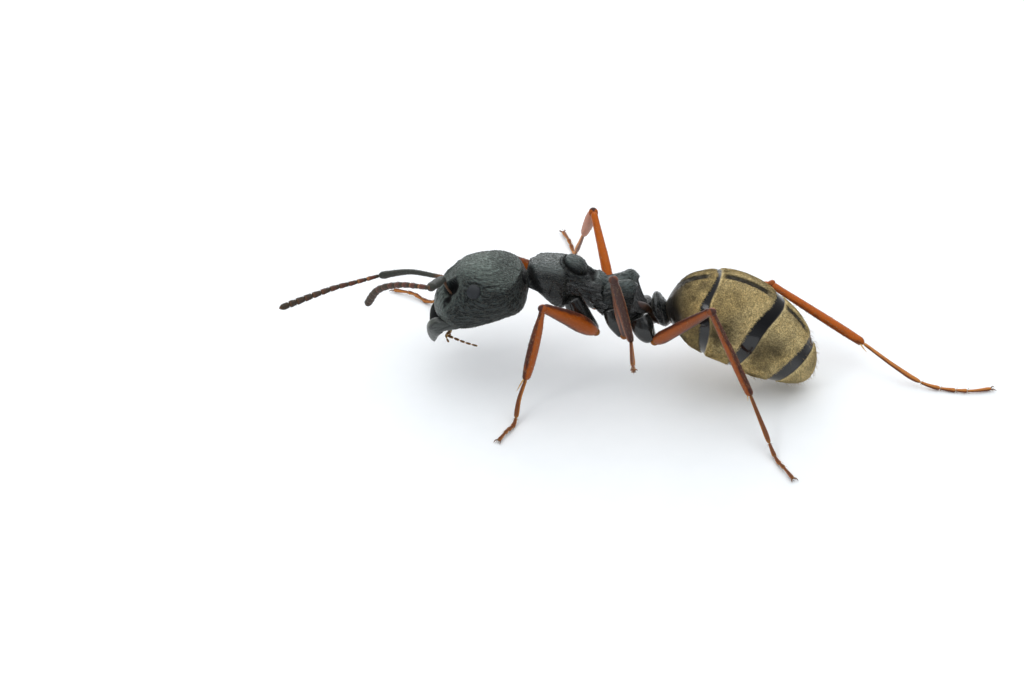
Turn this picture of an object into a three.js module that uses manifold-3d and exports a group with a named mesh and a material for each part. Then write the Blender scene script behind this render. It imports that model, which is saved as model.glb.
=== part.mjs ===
// A worker ant of a large grooved-headed Dolichoderus species, life-size, standing on
// five feet with its left middle leg lifted.
// Millimetres, +Z up. The ant faces -Y, its left side is +X, and it stands on Z = 0.
// Each part is first drawn about the ant's own midline, X = 0; the whole ant is then
// moved so that the origin lies under the middle of its box.
import * as THREE from "three";
import { mergeVertices } from "three/addons/utils/BufferGeometryUtils.js";
import Module from "manifold-3d";

const wasm = await Module();
wasm.setup();

// Driving dimensions.
const SEAM = 0.02; // gap left between two plates that meet
const LIMB_RADIUS = 0.25; // legs and feelers, thickened so that they hold as solids
const SOLE_DEPTH = 0.03; // how much of a foot is cut away by the floor
const FOOT_HEIGHT = LIMB_RADIUS - SOLE_DEPTH; // a foot's axis above the floor

const HEAD_LENGTH = 2.2; // back of the head to the front edge of the clypeus
const HEAD_WIDTH = 1.9;
const HEAD_DEPTH = 1.36;
const HEAD_CENTRE = [0, -0.6, 2.03];
const HEAD_PITCH = 28; // degrees, face down
const HEAD_TURN = 1; // degrees, to the ant's left

const EYE_RADIUS = 0.17;
const EYE_BULGE = 0.075; // half thickness of the lens
const EYE_PLACE = [0.78, 0.19, 0.41]; // left eye, in the head's own frame
const EYE_FACING = [0.78, 0.06, 0.74]; // the way the left eye looks
const SOCKET_PLACE = [0.4, -0.5, 0.52]; // pit that the left antenna stands in
const SOCKET_RADII = [0.17, 0.21, 0.17];

const TRUNK_WIDTH = 1.2;
const HUMP_PLACE = [0.22, 2.78, 2.42]; // left hump of the propodeum
const HUMP_RADII = [0.18, 0.22, 0.23];
const HOLLOW_PLACE = [0, 3.36, 2.2]; // ball that hollows the propodeum's rear face
const HOLLOW_RADII = [0.9, 0.42, 0.8];
const GASTER_LENGTH = 3.8; // along its bent middle line
const GASTER_WIDTH = 2.24;
const GASTER_HEIGHT = 2.18;
const GASTER_SEAMS = [0.27, 0.6, 0.86]; // where the gaster's plates part, along its length

const MIDDLE_OF_BOX = [-1.15, 2.9]; // of the ant, measured from its midline and neck
const CUTTER = 40; // side of the block that gives the feet their flat soles
const RING_MARGIN = 0.01; // least share of a swept body's length between its rings

const COLOURS = {
  head: 0x23272a,
  trunk: 0x1d2226,
  gaster: 0x6b5a36,
  eye: 0x3a3d48,
  mandible: 0x2a1512,
  antenna: 0x3a2620,
  palp: 0x9a6a2c,
  coxa: 0x1f2224,
  femur: 0x7a3014,
  tibia: 0x6e2c16,
  tarsus: 0xa86a2a,
};

// ---- Small helpers ----

const vector = (p) => new THREE.Vector3(...p);
const finish = (colour, roughness) =>
  new THREE.MeshStandardMaterial({ color: colour, roughness, metalness: 0 });

function solidOf(geometry) {
  const bare = geometry.clone();
  bare.deleteAttribute("normal");
  bare.deleteAttribute("uv");
  const merged = mergeVertices(bare, 1e-4);
  return new wasm.Manifold(
    new wasm.Mesh({
      numProp: 3,
      vertProperties: new Float32Array(merged.attributes.position.array),
      triVerts: new Uint32Array(merged.index.array),
    }),
  );
}

function geometryOf(solid) {
  const mesh = solid.getMesh();
  const points = new THREE.BufferAttribute(new Float32Array(mesh.vertProperties), 3);
  const geometry = new THREE.BufferGeometry().setAttribute("position", points);
  geometry.setIndex(new THREE.BufferAttribute(new Uint32Array(mesh.triVerts), 1));
  return geometry;
}

const join = (...parts) => parts.reduce((all, part) => all.add(part));
const cut = (part, ...tools) => tools.reduce((left, tool) => left.subtract(tool), part);

// Moves a solid from a group's frame to its parent's, or back.
function moved(solid, matrix) {
  return solidOf(geometryOf(solid).applyMatrix4(matrix));
}

// ---- Swept bodies ----

// Where the rings of a swept body lie, from 0 to 1 along it: closer where an end rounds off.
function ringPlaces([nose, tail], [noseRings, middleRings, tailRings]) {
  const places = [];
  const rounded = (i, rings) => 1 - Math.cos((Math.PI / 2) * (i / rings));
  for (let i = 0; i < noseRings; i++) {
    places.push(nose * rounded(i, noseRings));
  }
  for (let i = 0; i <= middleRings; i++) {
    places.push(nose + (1 - nose - tail) * (i / middleRings));
  }
  for (let i = tailRings - 1; i >= 0; i--) {
    places.push(1 - tail * rounded(i, tailRings));
  }
  return places;
}

function roundOff(distance, share) {
  return distance < share ? Math.sqrt(1 - (1 - distance / share) ** 2) : 1;
}

// A closed body along a spine. Each station is [place, half width, reach above, reach
// below], and ends are the shares of the length over which the two ends round off. A
// section is an ellipse, or squarer where square is over 2. from and to keep a slice.
function sweep(shape, grow = 0, from = 0, to = 1) {
  const { spine, stations, ends = [0.5, 0.5], rings = [5, 1, 5], sides = 16 } = shape;
  const { square = 2, up = [0, 0, 1] } = shape;
  const curve = new THREE.CatmullRomCurve3(spine.map(vector), false, "centripetal");
  const places = stations.map((s) => s[0]);
  const sizes = stations.flatMap((s) => s.slice(1));
  const sizeAt = new THREE.CubicInterpolant(places, sizes, 3, new Float32Array(3));
  const inside = ringPlaces(ends, rings).filter(
    (t) => t > from + RING_MARGIN && t < to - RING_MARGIN,
  );
  const rows = [from, ...inside, to];
  const profile = rows.map((t, row) => new THREE.Vector2(1, row));
  profile.unshift(new THREE.Vector2(0, 0));
  profile.push(new THREE.Vector2(0, rows.length - 1));
  const geometry = new THREE.LatheGeometry(profile, sides);
  const position = geometry.attributes.position;
  const bulge = 2 / square;
  for (let i = 0; i < position.count; i++) {
    const t = rows[Math.round(position.getY(i))];
    const onAxis = Math.hypot(position.getX(i), position.getZ(i)) < 0.5;
    const tangent = curve.getTangentAt(t);
    const across = tangent.clone().cross(vector(up)).normalize();
    const above = across.clone().cross(tangent);
    const [width, high, low] = sizeAt.evaluate(t);
    const end = roundOff(t, ends[0]) * roundOff(1 - t, ends[1]);
    const reach = onAxis ? 0 : 1;
    const side = position.getX(i);
    const rise = position.getZ(i);
    const x = Math.sign(side) * Math.abs(side) ** bulge * (width * end + grow) * reach;
    const tall = rise > 0 ? high : low;
    const z = Math.sign(rise) * Math.abs(rise) ** bulge * (tall * end + grow) * reach;
    const point = curve.getPointAt(t);
    if (t === from) point.addScaledVector(tangent, -grow);
    if (t === to) point.addScaledVector(tangent, grow);
    point.addScaledVector(across, x).addScaledVector(above, z);
    position.setXYZ(i, point.x, point.y, point.z);
  }
  return solidOf(geometry);
}

// A round limb through some joints, each with its radius.
function limb(spine, radii, ends = [0.06, 0.06], rings = [2, 2, 2], sides = 8) {
  const stations = radii.map((r, i) => [i / (radii.length - 1), r, r, r]);
  const along = vector(spine.at(-1)).sub(vector(spine[0])).normalize();
  const up = Math.abs(along.z) > 0.9 ? [0, 1, 0] : [0, 0, 1];
  return { spine, stations, ends, rings, sides, up };
}

function ball(centre, radii) {
  const geometry = new THREE.SphereGeometry(1, 12, 8);
  geometry.scale(...radii).translate(...centre);
  return solidOf(geometry);
}

// ---- The ant and its head's own frame ----

const ant = new THREE.Group();
ant.position.set(-MIDDLE_OF_BOX[0], -MIDDLE_OF_BOX[1], 0);
const headFrame = new THREE.Group();
headFrame.position.set(...HEAD_CENTRE);
headFrame.rotation.order = "ZXY";
headFrame.rotation.x = THREE.MathUtils.degToRad(HEAD_PITCH);
headFrame.rotation.z = THREE.MathUtils.degToRad(HEAD_TURN);
headFrame.updateMatrix();
ant.add(headFrame);

function addPart(name, solid, material, parent = ant) {
  const mesh = new THREE.Mesh(geometryOf(solid), material);
  mesh.name = name;
  parent.add(mesh);
}

// ---- Head ----

const skull = {
  spine: [
    [0, HEAD_LENGTH / 2, 0.06],
    [0, 0, 0],
    [0, -HEAD_LENGTH / 2, -0.04],
  ],
  stations: [
    [0, 0.95, 0.8, 0.92],
    [0.18, 1, 0.84, 1],
    [0.35, 1, 0.93, 1.03],
    [0.5, 0.97, 0.92, 1.01],
    [0.65, 0.92, 0.83, 0.97],
    [0.82, 0.84, 0.64, 0.88],
    [1, 0.7, 0.48, 0.62],
  ].map(([t, w, a, b]) => [
    t,
    (w * HEAD_WIDTH) / 2,
    (a * HEAD_DEPTH) / 2,
    (b * HEAD_DEPTH) / 2,
  ]),
  ends: [0.22, 0.24],
  rings: [5, 4, 4],
  sides: 20,
  square: 2.2,
};

function eyeBall(side, grow) {
  const [x, y, z] = EYE_PLACE;
  const [aside, back, up] = EYE_FACING;
  const geometry = new THREE.SphereGeometry(1, 12, 6);
  geometry.scale(EYE_RADIUS + grow, EYE_RADIUS + grow, EYE_BULGE + grow);
  const outward = new THREE.Vector3(side * aside, back, up).normalize();
  const turn = new THREE.Quaternion().setFromUnitVectors(vector([0, 0, 1]), outward);
  geometry.applyQuaternion(turn).translate(side * x, y, z);
  return solidOf(geometry);
}

function makeHead() {
  const [x, y, z] = SOCKET_PLACE;
  let head = sweep(skull);
  for (const side of [1, -1]) {
    head = cut(head, eyeBall(side, SEAM), ball([side * x, y, z], SOCKET_RADII));
  }
  addPart("head", head, finish(COLOURS.head, 0.55), headFrame);
  for (const side of [1, -1]) {
    const name = side > 0 ? "eye_left" : "eye_right";
    addPart(name, eyeBall(side, 0), finish(COLOURS.eye, 0.4), headFrame);
  }
}

const JAW_SPINE = [
  [0.36, -0.83, -0.24],
  [0.37, -1.13, -0.21],
  [0.28, -1.38, -0.35],
  [0.1, -1.51, -0.61],
];

function blade(side) {
  return {
    spine: JAW_SPINE.map(([x, y, z]) => [side * x, y, z]),
    stations: [
      [0, 0.16, 0.22, 0.22],
      [0.4, 0.17, 0.22, 0.3],
      [0.75, 0.13, 0.13, 0.22],
      [1, 0.07, 0.06, 0.09],
    ],
    ends: [0.05, 0.2],
    rings: [1, 4, 3],
    sides: 12,
  };
}

function makeMandible(side) {
  const solid = cut(sweep(blade(side)), sweep(skull, SEAM));
  const name = side > 0 ? "mandible_left" : "mandible_right";
  addPart(name, solid, finish(COLOURS.mandible, 0.25), headFrame);
}

// ---- Trunk: neck, pronotum, mesonotum, propodeum, petiole ----

const neck = {
  spine: [[0, 0.2, 2.3], [0, 0.45, 2.34], [0, 0.66, 2.36]],
  stations: [[0, 0.2, 0.18, 0.2], [0.5, 0.2, 0.2, 0.2], [1, 0.26, 0.26, 0.26]],
  ends: [0.05, 0.05],
  rings: [1, 3, 1],
  sides: 12,
};
const pronotum = {
  spine: [[0, 0.5, 2.3], [0, 0.95, 2.42], [0, 1.56, 2.4]],
  stations: [
    [0, 0.36, 0.34, 0.34],
    [0.3, 0.52, 0.54, 0.52],
    [0.6, TRUNK_WIDTH / 2, 0.57, 0.58],
    [1, 0.5, 0.5, 0.54],
  ],
  ends: [0.14, 0.45],
  rings: [3, 3, 4],
  sides: 18,
  square: 2.25,
};
const mesonotum = {
  spine: [[0, 1.1, 2.5], [0, 1.5, 2.48], [0, 1.9, 2.24], [0, 2.46, 1.94]],
  stations: [
    [0, 0.4, 0.46, 0.6],
    [0.3, 0.42, 0.47, 0.5],
    [0.45, 0.42, 0.44, 0.48],
    [0.58, 0.43, 0.38, 0.5],
    [0.72, 0.43, 0.41, 0.5],
    [1, 0.42, 0.36, 0.46],
  ],
  ends: [0.2, 0.1],
  rings: [2, 7, 2],
  sides: 16,
  square: 2.3,
};
const propodeum = {
  spine: [[0, 2.16, 2.0], [0, 2.6, 2.04], [0, 3.24, 1.92]],
  stations: [
    [0, 0.42, 0.44, 0.46],
    [0.35, 0.46, 0.54, 0.54],
    [0.7, 0.46, 0.42, 0.5],
    [1, 0.36, 0.12, 0.42],
  ],
  ends: [0.12, 0.3],
  rings: [2, 3, 3],
  sides: 16,
  square: 2.4,
};
const petiole = {
  spine: [[0, 3.42, 1.42], [0, 3.46, 1.8], [0, 3.4, 2.22]],
  stations: [[0, 0.26, 0.2, 0.2], [0.4, 0.32, 0.2, 0.2], [1, 0.3, 0.13, 0.13]],
  ends: [0.25, 0.4],
  rings: [2, 2, 3],
  sides: 14,
  up: [0, 1, 0],
};
const petioleBars = {
  spine: [[0, 2.8, 1.8], [0, 3.3, 1.7], [0, 3.8, 1.74]],
  stations: [[0, 0.2, 0.2, 0.2], [0.5, 0.2, 0.2, 0.2], [1, 0.2, 0.2, 0.2]],
  ends: [0.05, 0.05],
  rings: [1, 2, 1],
  sides: 10,
};

// The propodeum with its two humps and its hollow rear face.
function propodeumBody(grow) {
  const enlarged = HUMP_RADII.map((r) => r + grow);
  const [x, y, z] = HUMP_PLACE;
  const humps = [1, -1].map((side) => ball([side * x, y, z], enlarged));
  const hollow = ball(HOLLOW_PLACE, HOLLOW_RADII.map((r) => r - grow));
  return cut(join(sweep(propodeum, grow), ...humps), hollow);
}

function makeTrunk() {
  const shell = finish(COLOURS.trunk, 0.5);
  const skullInPlace = (grow) => moved(sweep(skull, grow), headFrame.matrix);
  const parts = {};
  parts.pronotum = sweep(pronotum);
  parts.mesonotum = cut(sweep(mesonotum), sweep(pronotum, SEAM));
  parts.propodeum = cut(propodeumBody(0), sweep(mesonotum, SEAM));
  parts.petiole = cut(
    join(sweep(petiole), sweep(petioleBars)),
    propodeumBody(SEAM),
    sweep(gaster, SEAM),
  );
  parts.neck = cut(sweep(neck), skullInPlace(SEAM), sweep(pronotum, SEAM));
  for (const [name, solid] of Object.entries(parts)) {
    addPart(name, solid, shell);
  }
}

// ---- Gaster: four plates on one curved, egg-shaped body ----

const gaster = {
  spine: [
    [0, 3.6, 1.82],
    [0, 4.3, 1.84],
    [0, 5.1, 1.67],
    [0, 5.9, 1.22],
    [0, 6.46, 0.73],
    [0, 6.84, 0.26],
  ],
  stations: [
    [0, 0.74, 0.72],
    [0.2, 0.93, 0.93],
    [0.45, 0.99, 0.99],
    [0.65, 0.88, 0.88],
    [0.85, 0.76, 0.74],
    [1, 0.7, 0.68],
  ].map(([t, w, h]) => [
    t,
    (w * GASTER_WIDTH) / 2,
    (h * GASTER_HEIGHT) / 2,
    (h * GASTER_HEIGHT) / 2,
  ]),
  ends: [0.36, 0.34],
  rings: [7, 4, 7],
  sides: 20,
};

function makeGaster() {
  const edges = [0, ...GASTER_SEAMS, 1];
  const half = SEAM / 2 / GASTER_LENGTH;
  for (let i = 0; i < 4; i++) {
    const from = i === 0 ? 0 : edges[i] + half;
    const to = i === 3 ? 1 : edges[i + 1] - half;
    addPart("gaster_" + (i + 1), sweep(gaster, 0, from, to), finish(COLOURS.gaster, 0.5));
  }
}

// ---- Antennae and palps ----

const SCAPES = {
  left: [[0.36, -1.1, 2.0], [0.5, -1.34, 2.45], [1.3, -1.45, 2.86], [2.14, -1.39, 3.26]],
  right: [[-0.3, -1.1, 2.0], [-0.45, -1.53, 2.06], [-0.88, -2.12, 1.9], [-1.3, -3.05, 1.46]],
};
const FUNICULI = {
  left: [[2.14, -1.39, 3.26], [1.5, -2.2, 2.9], [1.0, -2.74, 2.44], [0.5, -3.08, 1.73]],
  right: [[-1.3, -3.05, 1.46], [-0.9, -3.55, 1.48], [-0.6, -3.98, 1.47], [0.1, -5.14, 1.26]],
};
const PALPS = {
  left: [[0.2, -0.96, 1.2], [0.24, -1.12, 0.88], [0.38, -0.6, 0.78]],
  right: [[-0.22, -0.94, 1.18], [-0.3, -1.08, 0.88], [-0.44, -0.54, 0.78]],
};

const PALP_RADII = [0.2, 0.2, 0.2];

function makeFeelers() {
  const headInPlace = moved(sweep(skull, SEAM), headFrame.matrix);
  const even = [LIMB_RADIUS, LIMB_RADIUS, LIMB_RADIUS];
  const jaws = [1, -1].map((side) => moved(sweep(blade(side), SEAM), headFrame.matrix));
  for (const side of ["left", "right"]) {
    const scape = limb(SCAPES[side], even);
    const funiculus = limb(FUNICULI[side], even);
    const [mouth, elbow, tip] = PALPS[side];
    const stem = limb([mouth, elbow], PALP_RADII, [0.1, 0.35], [1, 1, 3]);
    const palp = limb([elbow, tip], PALP_RADII, [0.25, 0.25], [3, 1, 3]);
    const rod = finish(COLOURS.antenna, 0.5);
    addPart("scape_" + side, cut(sweep(scape), headInPlace), rod);
    addPart("funiculus_" + side, cut(sweep(funiculus), sweep(scape, SEAM)), rod);
    const palps = cut(join(sweep(stem), sweep(palp)), headInPlace, ...jaws);
    addPart("palps_" + side, palps, finish(COLOURS.palp, 0.5));
  }
}

// ---- Legs ----
// Each leg's joints in turn: where the coxa leaves the trunk, the trochanter, the knee,
// the ankle, the bend of the foot and its tip.

const LEGS = {
  leg_left_front: [
    [0.34, 1.5, 2.2],
    [0.43, 2.14, 1.34],
    [1.86, 1.07, 2.73],
    [1.67, 0.62, 0.74],
    [2.36, 0.5, FOOT_HEIGHT],
    [3.19, 0.09, FOOT_HEIGHT],
  ],
  leg_left_middle: [
    [0.34, 2.3, 1.95],
    [0.45, 2.69, 1.28],
    [1.9, 2.63, 3.63],
    [1.3, 2.98, 1.68],
    [2.6, 3.15, 1.77],
    [3.35, 3.24, 2.2],
  ],
  leg_left_hind: [
    [0.3, 3.02, 1.8],
    [0.46, 3.39, 1.2],
    [2.09, 4.83, 3.08],
    [1.71, 5.65, 0.72],
    [3.11, 6.33, FOOT_HEIGHT],
    [3.84, 6.8, FOOT_HEIGHT],
  ],
  leg_right_front: [
    [-0.34, 1.5, 2.2],
    [-0.48, 2.08, 1.36],
    [-1.4, -0.09, 2.16],
    [-1.95, -1.24, 0.68],
    [-2.58, -2.2, FOOT_HEIGHT],
    [-3.03, -2.96, FOOT_HEIGHT],
  ],
  leg_right_middle: [
    [-0.34, 2.3, 1.95],
    [-0.48, 2.67, 1.3],
    [-2.6, 1.72, 2.73],
    [-4.15, 1.3, 1.21],
    [-5.22, 0.96, FOOT_HEIGHT],
    [-6.14, 0.59, FOOT_HEIGHT],
  ],
  leg_right_hind: [
    [-0.3, 3.02, 1.8],
    [-0.47, 3.4, 1.2],
    [-2.14, 5.78, 1.4],
    [-1.02, 8.02, 0.62],
    [-0.24, 9.36, FOOT_HEIGHT],
    [-0.45, 10.97, FOOT_HEIGHT],
  ],
};
const COXA_RADII = [0.27, 0.26, 0.19];
const FEMUR_RADII = [0.24, 0.27, 0.25];
const TIBIA_RADII = [0.25, 0.26, 0.25];
const TARSUS_RADII = [0.24, 0.25, 0.25];

function makeLegs() {
  const trunk = [pronotum, mesonotum, propodeum].map((part) => sweep(part, SEAM));
  const floor = solidOf(new THREE.BoxGeometry(CUTTER, CUTTER, CUTTER).translate(0, 0, -CUTTER / 2));
  for (const [name, joints] of Object.entries(LEGS)) {
    const [root, trochanter, knee, ankle, bend, toe] = joints;
    const coxa = limb([root, trochanter], COXA_RADII, [0.1, 0.25], [1, 2, 3]);
    const femur = limb([trochanter, knee], FEMUR_RADII);
    const tibia = limb([knee, ankle], TIBIA_RADII, [0.06, 0.1]);
    const tarsus = limb([ankle, bend, toe], TARSUS_RADII, [0.06, 0.06], [1, 5, 2]);
    const pieces = {
      coxa: cut(sweep(coxa), ...trunk),
      femur: cut(sweep(femur), sweep(coxa, SEAM)),
      tibia: cut(sweep(tibia), sweep(femur, SEAM)),
      tarsus: cut(sweep(tarsus), sweep(tibia, SEAM), floor),
    };
    for (const [piece, solid] of Object.entries(pieces)) {
      addPart(name + "_" + piece, solid, finish(COLOURS[piece], 0.45));
    }
  }
}

makeHead();
makeMandible(1);
makeMandible(-1);
makeTrunk();
makeGaster();
makeFeelers();
makeLegs();

export default ant;
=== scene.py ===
# A worker ant of a large grooved-headed Dolichoderus species, dressed for rendering.
#
# Shapes are drawn in millimetres about the ant's own midline: it faces -Y, its left is
# +X and it stands on Z = 0. Piece.make moves them into the model's frame, in metres.
import math

import bpy
import numpy as np
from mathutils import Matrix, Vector


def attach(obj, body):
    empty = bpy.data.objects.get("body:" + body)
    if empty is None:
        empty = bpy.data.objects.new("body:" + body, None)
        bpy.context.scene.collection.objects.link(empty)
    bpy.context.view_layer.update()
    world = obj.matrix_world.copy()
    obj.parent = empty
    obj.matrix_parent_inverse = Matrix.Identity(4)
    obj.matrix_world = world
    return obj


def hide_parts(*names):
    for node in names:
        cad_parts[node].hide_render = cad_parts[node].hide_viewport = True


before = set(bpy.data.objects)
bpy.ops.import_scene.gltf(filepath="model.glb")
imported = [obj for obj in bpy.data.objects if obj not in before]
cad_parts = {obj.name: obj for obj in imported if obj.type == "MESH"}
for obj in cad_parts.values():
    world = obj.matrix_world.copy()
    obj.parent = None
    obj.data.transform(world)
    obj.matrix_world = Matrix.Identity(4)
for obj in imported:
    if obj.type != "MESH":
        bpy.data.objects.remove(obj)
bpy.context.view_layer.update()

MM = 1000  # millimetres in a metre
SHIFT = np.array([1.15, -2.9, 0.0])  # from the ant's midline to the model's origin
SIDES = {"left": 1, "right": -1}
rng = np.random.default_rng(7)

# ---------------------------------------------------------------- measures

HEAD_LENGTH, HEAD_WIDTH, HEAD_DEPTH = 2.2, 1.9, 1.36
HEAD_CENTRE = np.array([0, -0.6, 2.03])
HEAD_PITCH, HEAD_TURN = math.radians(28), math.radians(1)
EYE_PLACE, EYE_FACING = (0.8, 0.15, 0.36), (0.8, 0.06, 0.68)
EYE_RADIUS, EYE_BULGE = 0.165, 0.06
SOCKET = (0.47, -0.37, 0.49)  # pit of the left feeler, in the head's frame
MOUTH_FACING = np.array([0, -0.638, -0.77])
MOUTH_RIM, MOUTH_DEPTH = 0.7, 0.16  # how far along that way its rim lies, and its depth
TEETH = 9  # on each mandible
HOLLOW_PLACE = np.array([0, 3.37, 2.22])  # of the propodeum's rear face
HOLLOW_RADII = np.array([1.2, 0.48, 0.44])

GASTER_LENGTH, GASTER_WIDTH, GASTER_DEPTH = 3.8, 2.24, 2.18
# Where the first three plates end, and how far that moves at the sides, on the back, on
# the belly and high on the flanks.
GASTER_SEAMS = (
    (0.27, -0.04, 0.015, 0.0, -0.04), (0.55, -0.07, 0.0, -0.035, -0.016), (0.8, -0.025, 0.0, 0.0, 0.0),
)
# The bare glossy fronts of the second to fourth plate: width, and the share left on top.
BANDS = ((0.22, 0.28), (0.3, 0.72), (0.28, 0.72))
TUCK = 0.03  # how far a plate reaches under the one before

TOE = 0.06  # height of a foot's axis above the floor
# Each leg: root, trochanter, knee, ankle and the points its foot passes through.
LEGS = {
    "left_front": [
        (0.34, 1.5, 2.2), (0.43, 2.14, 1.34), (1.86, 1.07, 2.76), (1.67, 0.66, 0.74),
        (1.98, 0.55, 0.42), (2.46, 0.5, TOE + 0.01), (2.85, 0.37, TOE + 0.03), (3.2, 0.24, TOE),
    ],
    "left_middle": [
        (0.34, 2.36, 1.98), (0.45, 2.74, 1.28), (1.9, 2.63, 3.63), (1.3, 2.98, 1.68),
        (2.6, 3.17, 1.77), (3.35, 3.26, 2.2),
    ],
    "left_hind": [
        (0.3, 3.02, 1.8), (0.46, 3.39, 1.2), (2.09, 4.83, 3.08), (1.71, 5.71, 0.72),
        (2.5, 6.09, 0.36), (3.23, 6.43, TOE + 0.01), (3.65, 6.66, TOE + 0.03), (4.0, 6.88, TOE),
    ],
    "right_front": [
        (-0.34, 1.5, 2.2), (-0.46, 2.04, 1.47), (-1.4, -0.09, 2.06), (-1.95, -1.24, 0.72),
        (-2.3, -1.72, 0.3), (-2.62, -2.15, TOE), (-2.84, -2.48, TOE + 0.04), (-3.03, -2.96, TOE),
    ],
    "right_middle": [
        (-0.34, 2.2, 1.95), (-0.48, 2.44, 1.3), (-2.6, 1.69, 2.69), (-4.15, 1.3, 1.21),
        (-4.7, 1.12, 0.56), (-5.22, 0.96, TOE), (-5.7, 0.78, TOE + 0.03), (-6.14, 0.59, TOE),
    ],
    "right_hind": [
        (-0.3, 3.02, 1.8), (-0.47, 3.4, 1.2), (-2.14, 5.78, 1.37), (-1.02, 8.02, 0.62),
        (-0.55, 8.8, 0.33), (-0.31, 9.34, 0.14), (-0.22, 9.8, TOE), (-0.19, 10.5, TOE), (-0.34, 10.96, TOE),
    ],
}
LEG_LOOKS = {  # how much painted shade darkens a leg's shell, and how far its core's painted glow reaches its edges
    "left_front": (0.2, 0.25), "left_middle": (0.8, 0.0), "left_hind": (0.42, 0.25),
    "right_front": (0.2, 0.4), "right_middle": (0.0, 1.0), "right_hind": (0.1, 0.6),
}
BOWS = {"left_front": 0.03, "right_front": 0.15, "right_middle": 0.1}  # how far a femur arches
COXA_SIZES = {"front": 1.02, "middle": 0.78, "hind": 1.12}
COXA_FORWARD = {"left_front": 0.07}  # how far a coxa bulges forward
SPUR_LENGTHS = {"front": 0.34, "middle": 0.26, "hind": 0.26}
FEMUR_RADII = {
    "front": [(0, 0.1), (0.08, 0.15), (0.25, 0.2), (0.55, 0.18), (0.85, 0.13), (0.95, 0.115), (1, 0.11)],
    "middle": [(0, 0.08), (0.12, 0.1), (0.35, 0.135), (0.7, 0.115), (0.9, 0.1), (1, 0.1)],
    "hind": [(0, 0.1), (0.08, 0.14), (0.3, 0.145), (0.7, 0.125), (0.92, 0.1), (1, 0.105)],
}
TIBIA_RADII = {
    "front": [(0, 0.085), (0.1, 0.08), (0.3, 0.12), (0.6, 0.142), (0.85, 0.125), (0.96, 0.1), (1, 0.085)],
    "middle": [(0, 0.1), (0.08, 0.12), (0.3, 0.148), (0.6, 0.135), (0.85, 0.115), (0.96, 0.095), (1, 0.08)],
    "hind": [(0, 0.095), (0.08, 0.09), (0.3, 0.1), (0.6, 0.112), (0.9, 0.108), (0.97, 0.1), (1, 0.085)],
}
FOOT_JOINTS = (0.0, 0.5, 0.64, 0.75, 0.83, 1.0)
FOOT_RADII = (0.052, 0.046, 0.044, 0.042, 0.04)
CLAW_RADII, SPUR_RADII = (0.017, 0.014, 0.003), (0.018, 0.014, 0.003)

SCAPES = {
    "left": [
        (0.42, -1.16, 2.1), (0.44, -1.26, 2.26), (0.46, -1.335, 2.46), (1.3, -1.36, 2.9), (2.14, -1.42, 3.26),
    ],
    "right": [
        (-0.36, -1.14, 2.04), (-0.42, -1.36, 2.02), (-0.6, -1.7, 1.95), (-0.95, -2.3, 1.8),
        (-1.3, -3.05, 1.44),
    ],
}
SCAPE_RADII = {
    "left": [(0, 0.028), (0.13, 0.031), (0.19, 0.06), (0.3, 0.08), (0.85, 0.1), (0.96, 0.095), (1, 0.07)],
    "right": [(0, 0.035), (0.14, 0.04), (0.25, 0.05), (0.6, 0.062), (0.85, 0.078), (0.96, 0.08), (1, 0.06)],
}
SCAPE_FOOT = {"left": 0.22, "right": 0.75}  # how orange the foot of a scape is
WHIPS = {
    "left": [(2.14, -1.42, 3.26), (1.5, -2.2, 2.9), (1.0, -2.74, 2.44), (0.5, -3.08, 1.73)],
    "right": [(-1.3, -3.05, 1.44), (-0.9, -3.55, 1.46), (-0.6, -3.98, 1.46), (0.1, -5.14, 1.25)],
}
WHIP_LENGTHS = (1.45, 1.05, 0.95, 1.0, 1.0, 0.95, 0.92, 0.85, 0.85, 0.75, 1.1)  # its joints
WHIP_RADII = (0.045, 0.05, 0.053, 0.057, 0.06, 0.064, 0.068, 0.073, 0.077, 0.078, 0.074)
WHIP_EXTRA = {"left": 0.012, "right": 0.0}  # what is added to those radii

# The long and the short palp: where its joints meet, and the points it passes through.
PALPS = {
    (0.0, 0.17, 0.36, 0.52, 0.67, 0.83, 1.0): [
        (0.2, -1.2, 1.0), (0.22, -1.31, 0.92), (0.27, -1.12, 0.86), (0.33, -0.86, 0.8), (0.38, -0.58, 0.76),
    ],
    (0.0, 0.35, 0.68, 1.0): [
        (0.15, -1.2, 1.0), (0.16, -1.32, 0.88), (0.17, -1.31, 0.78), (0.16, -1.27, 0.68),
    ],
}

# The coats: the hairs' length and radius, how far they are raised and how far they
# stray from the way of the part they are on, and how many each part has.
COATS = {
    (0.055, 0.0032, 0.22, 0.35): {"head": 9000},
    (0.055, 0.003, 0.2, 0.35): {"pronotum": 3600, "mesonotum": 2400, "propodeum": 2200, "petiole": 700},
    (0.08, 0.0038, 0.2, 0.35): {"gaster_1": 10000, "gaster_2": 15000, "gaster_3": 9000, "gaster_4": 5000},
    (0.16, 0.0032, 0.75, 0.5): {"belly": 60},
    (0.17, 0.0032, 0.7, 0.6): {"gaster_tip": 60},
    (0.06, 0.0026, 0.3, 0.35): {"femur": 160, "tibia": 260},
    (0.045, 0.0022, 0.35, 0.35): {"scape": 500, "whip_joint": 60},
}

# ---------------------------------------------------------------- curves and sections


def unit(vectors):
    vectors = np.asarray(vectors, float)
    return vectors / np.maximum(np.linalg.norm(vectors, axis=-1, keepdims=True), 1e-9)


def smooth(low, high, value):
    share = np.clip((value - low) / (high - low), 0, 1)
    return share * share * (3 - 2 * share)


def around(sides):
    """The angles of the points of a ring."""
    return np.linspace(0, 2 * np.pi, sides, endpoint=False)[None, :]


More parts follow.
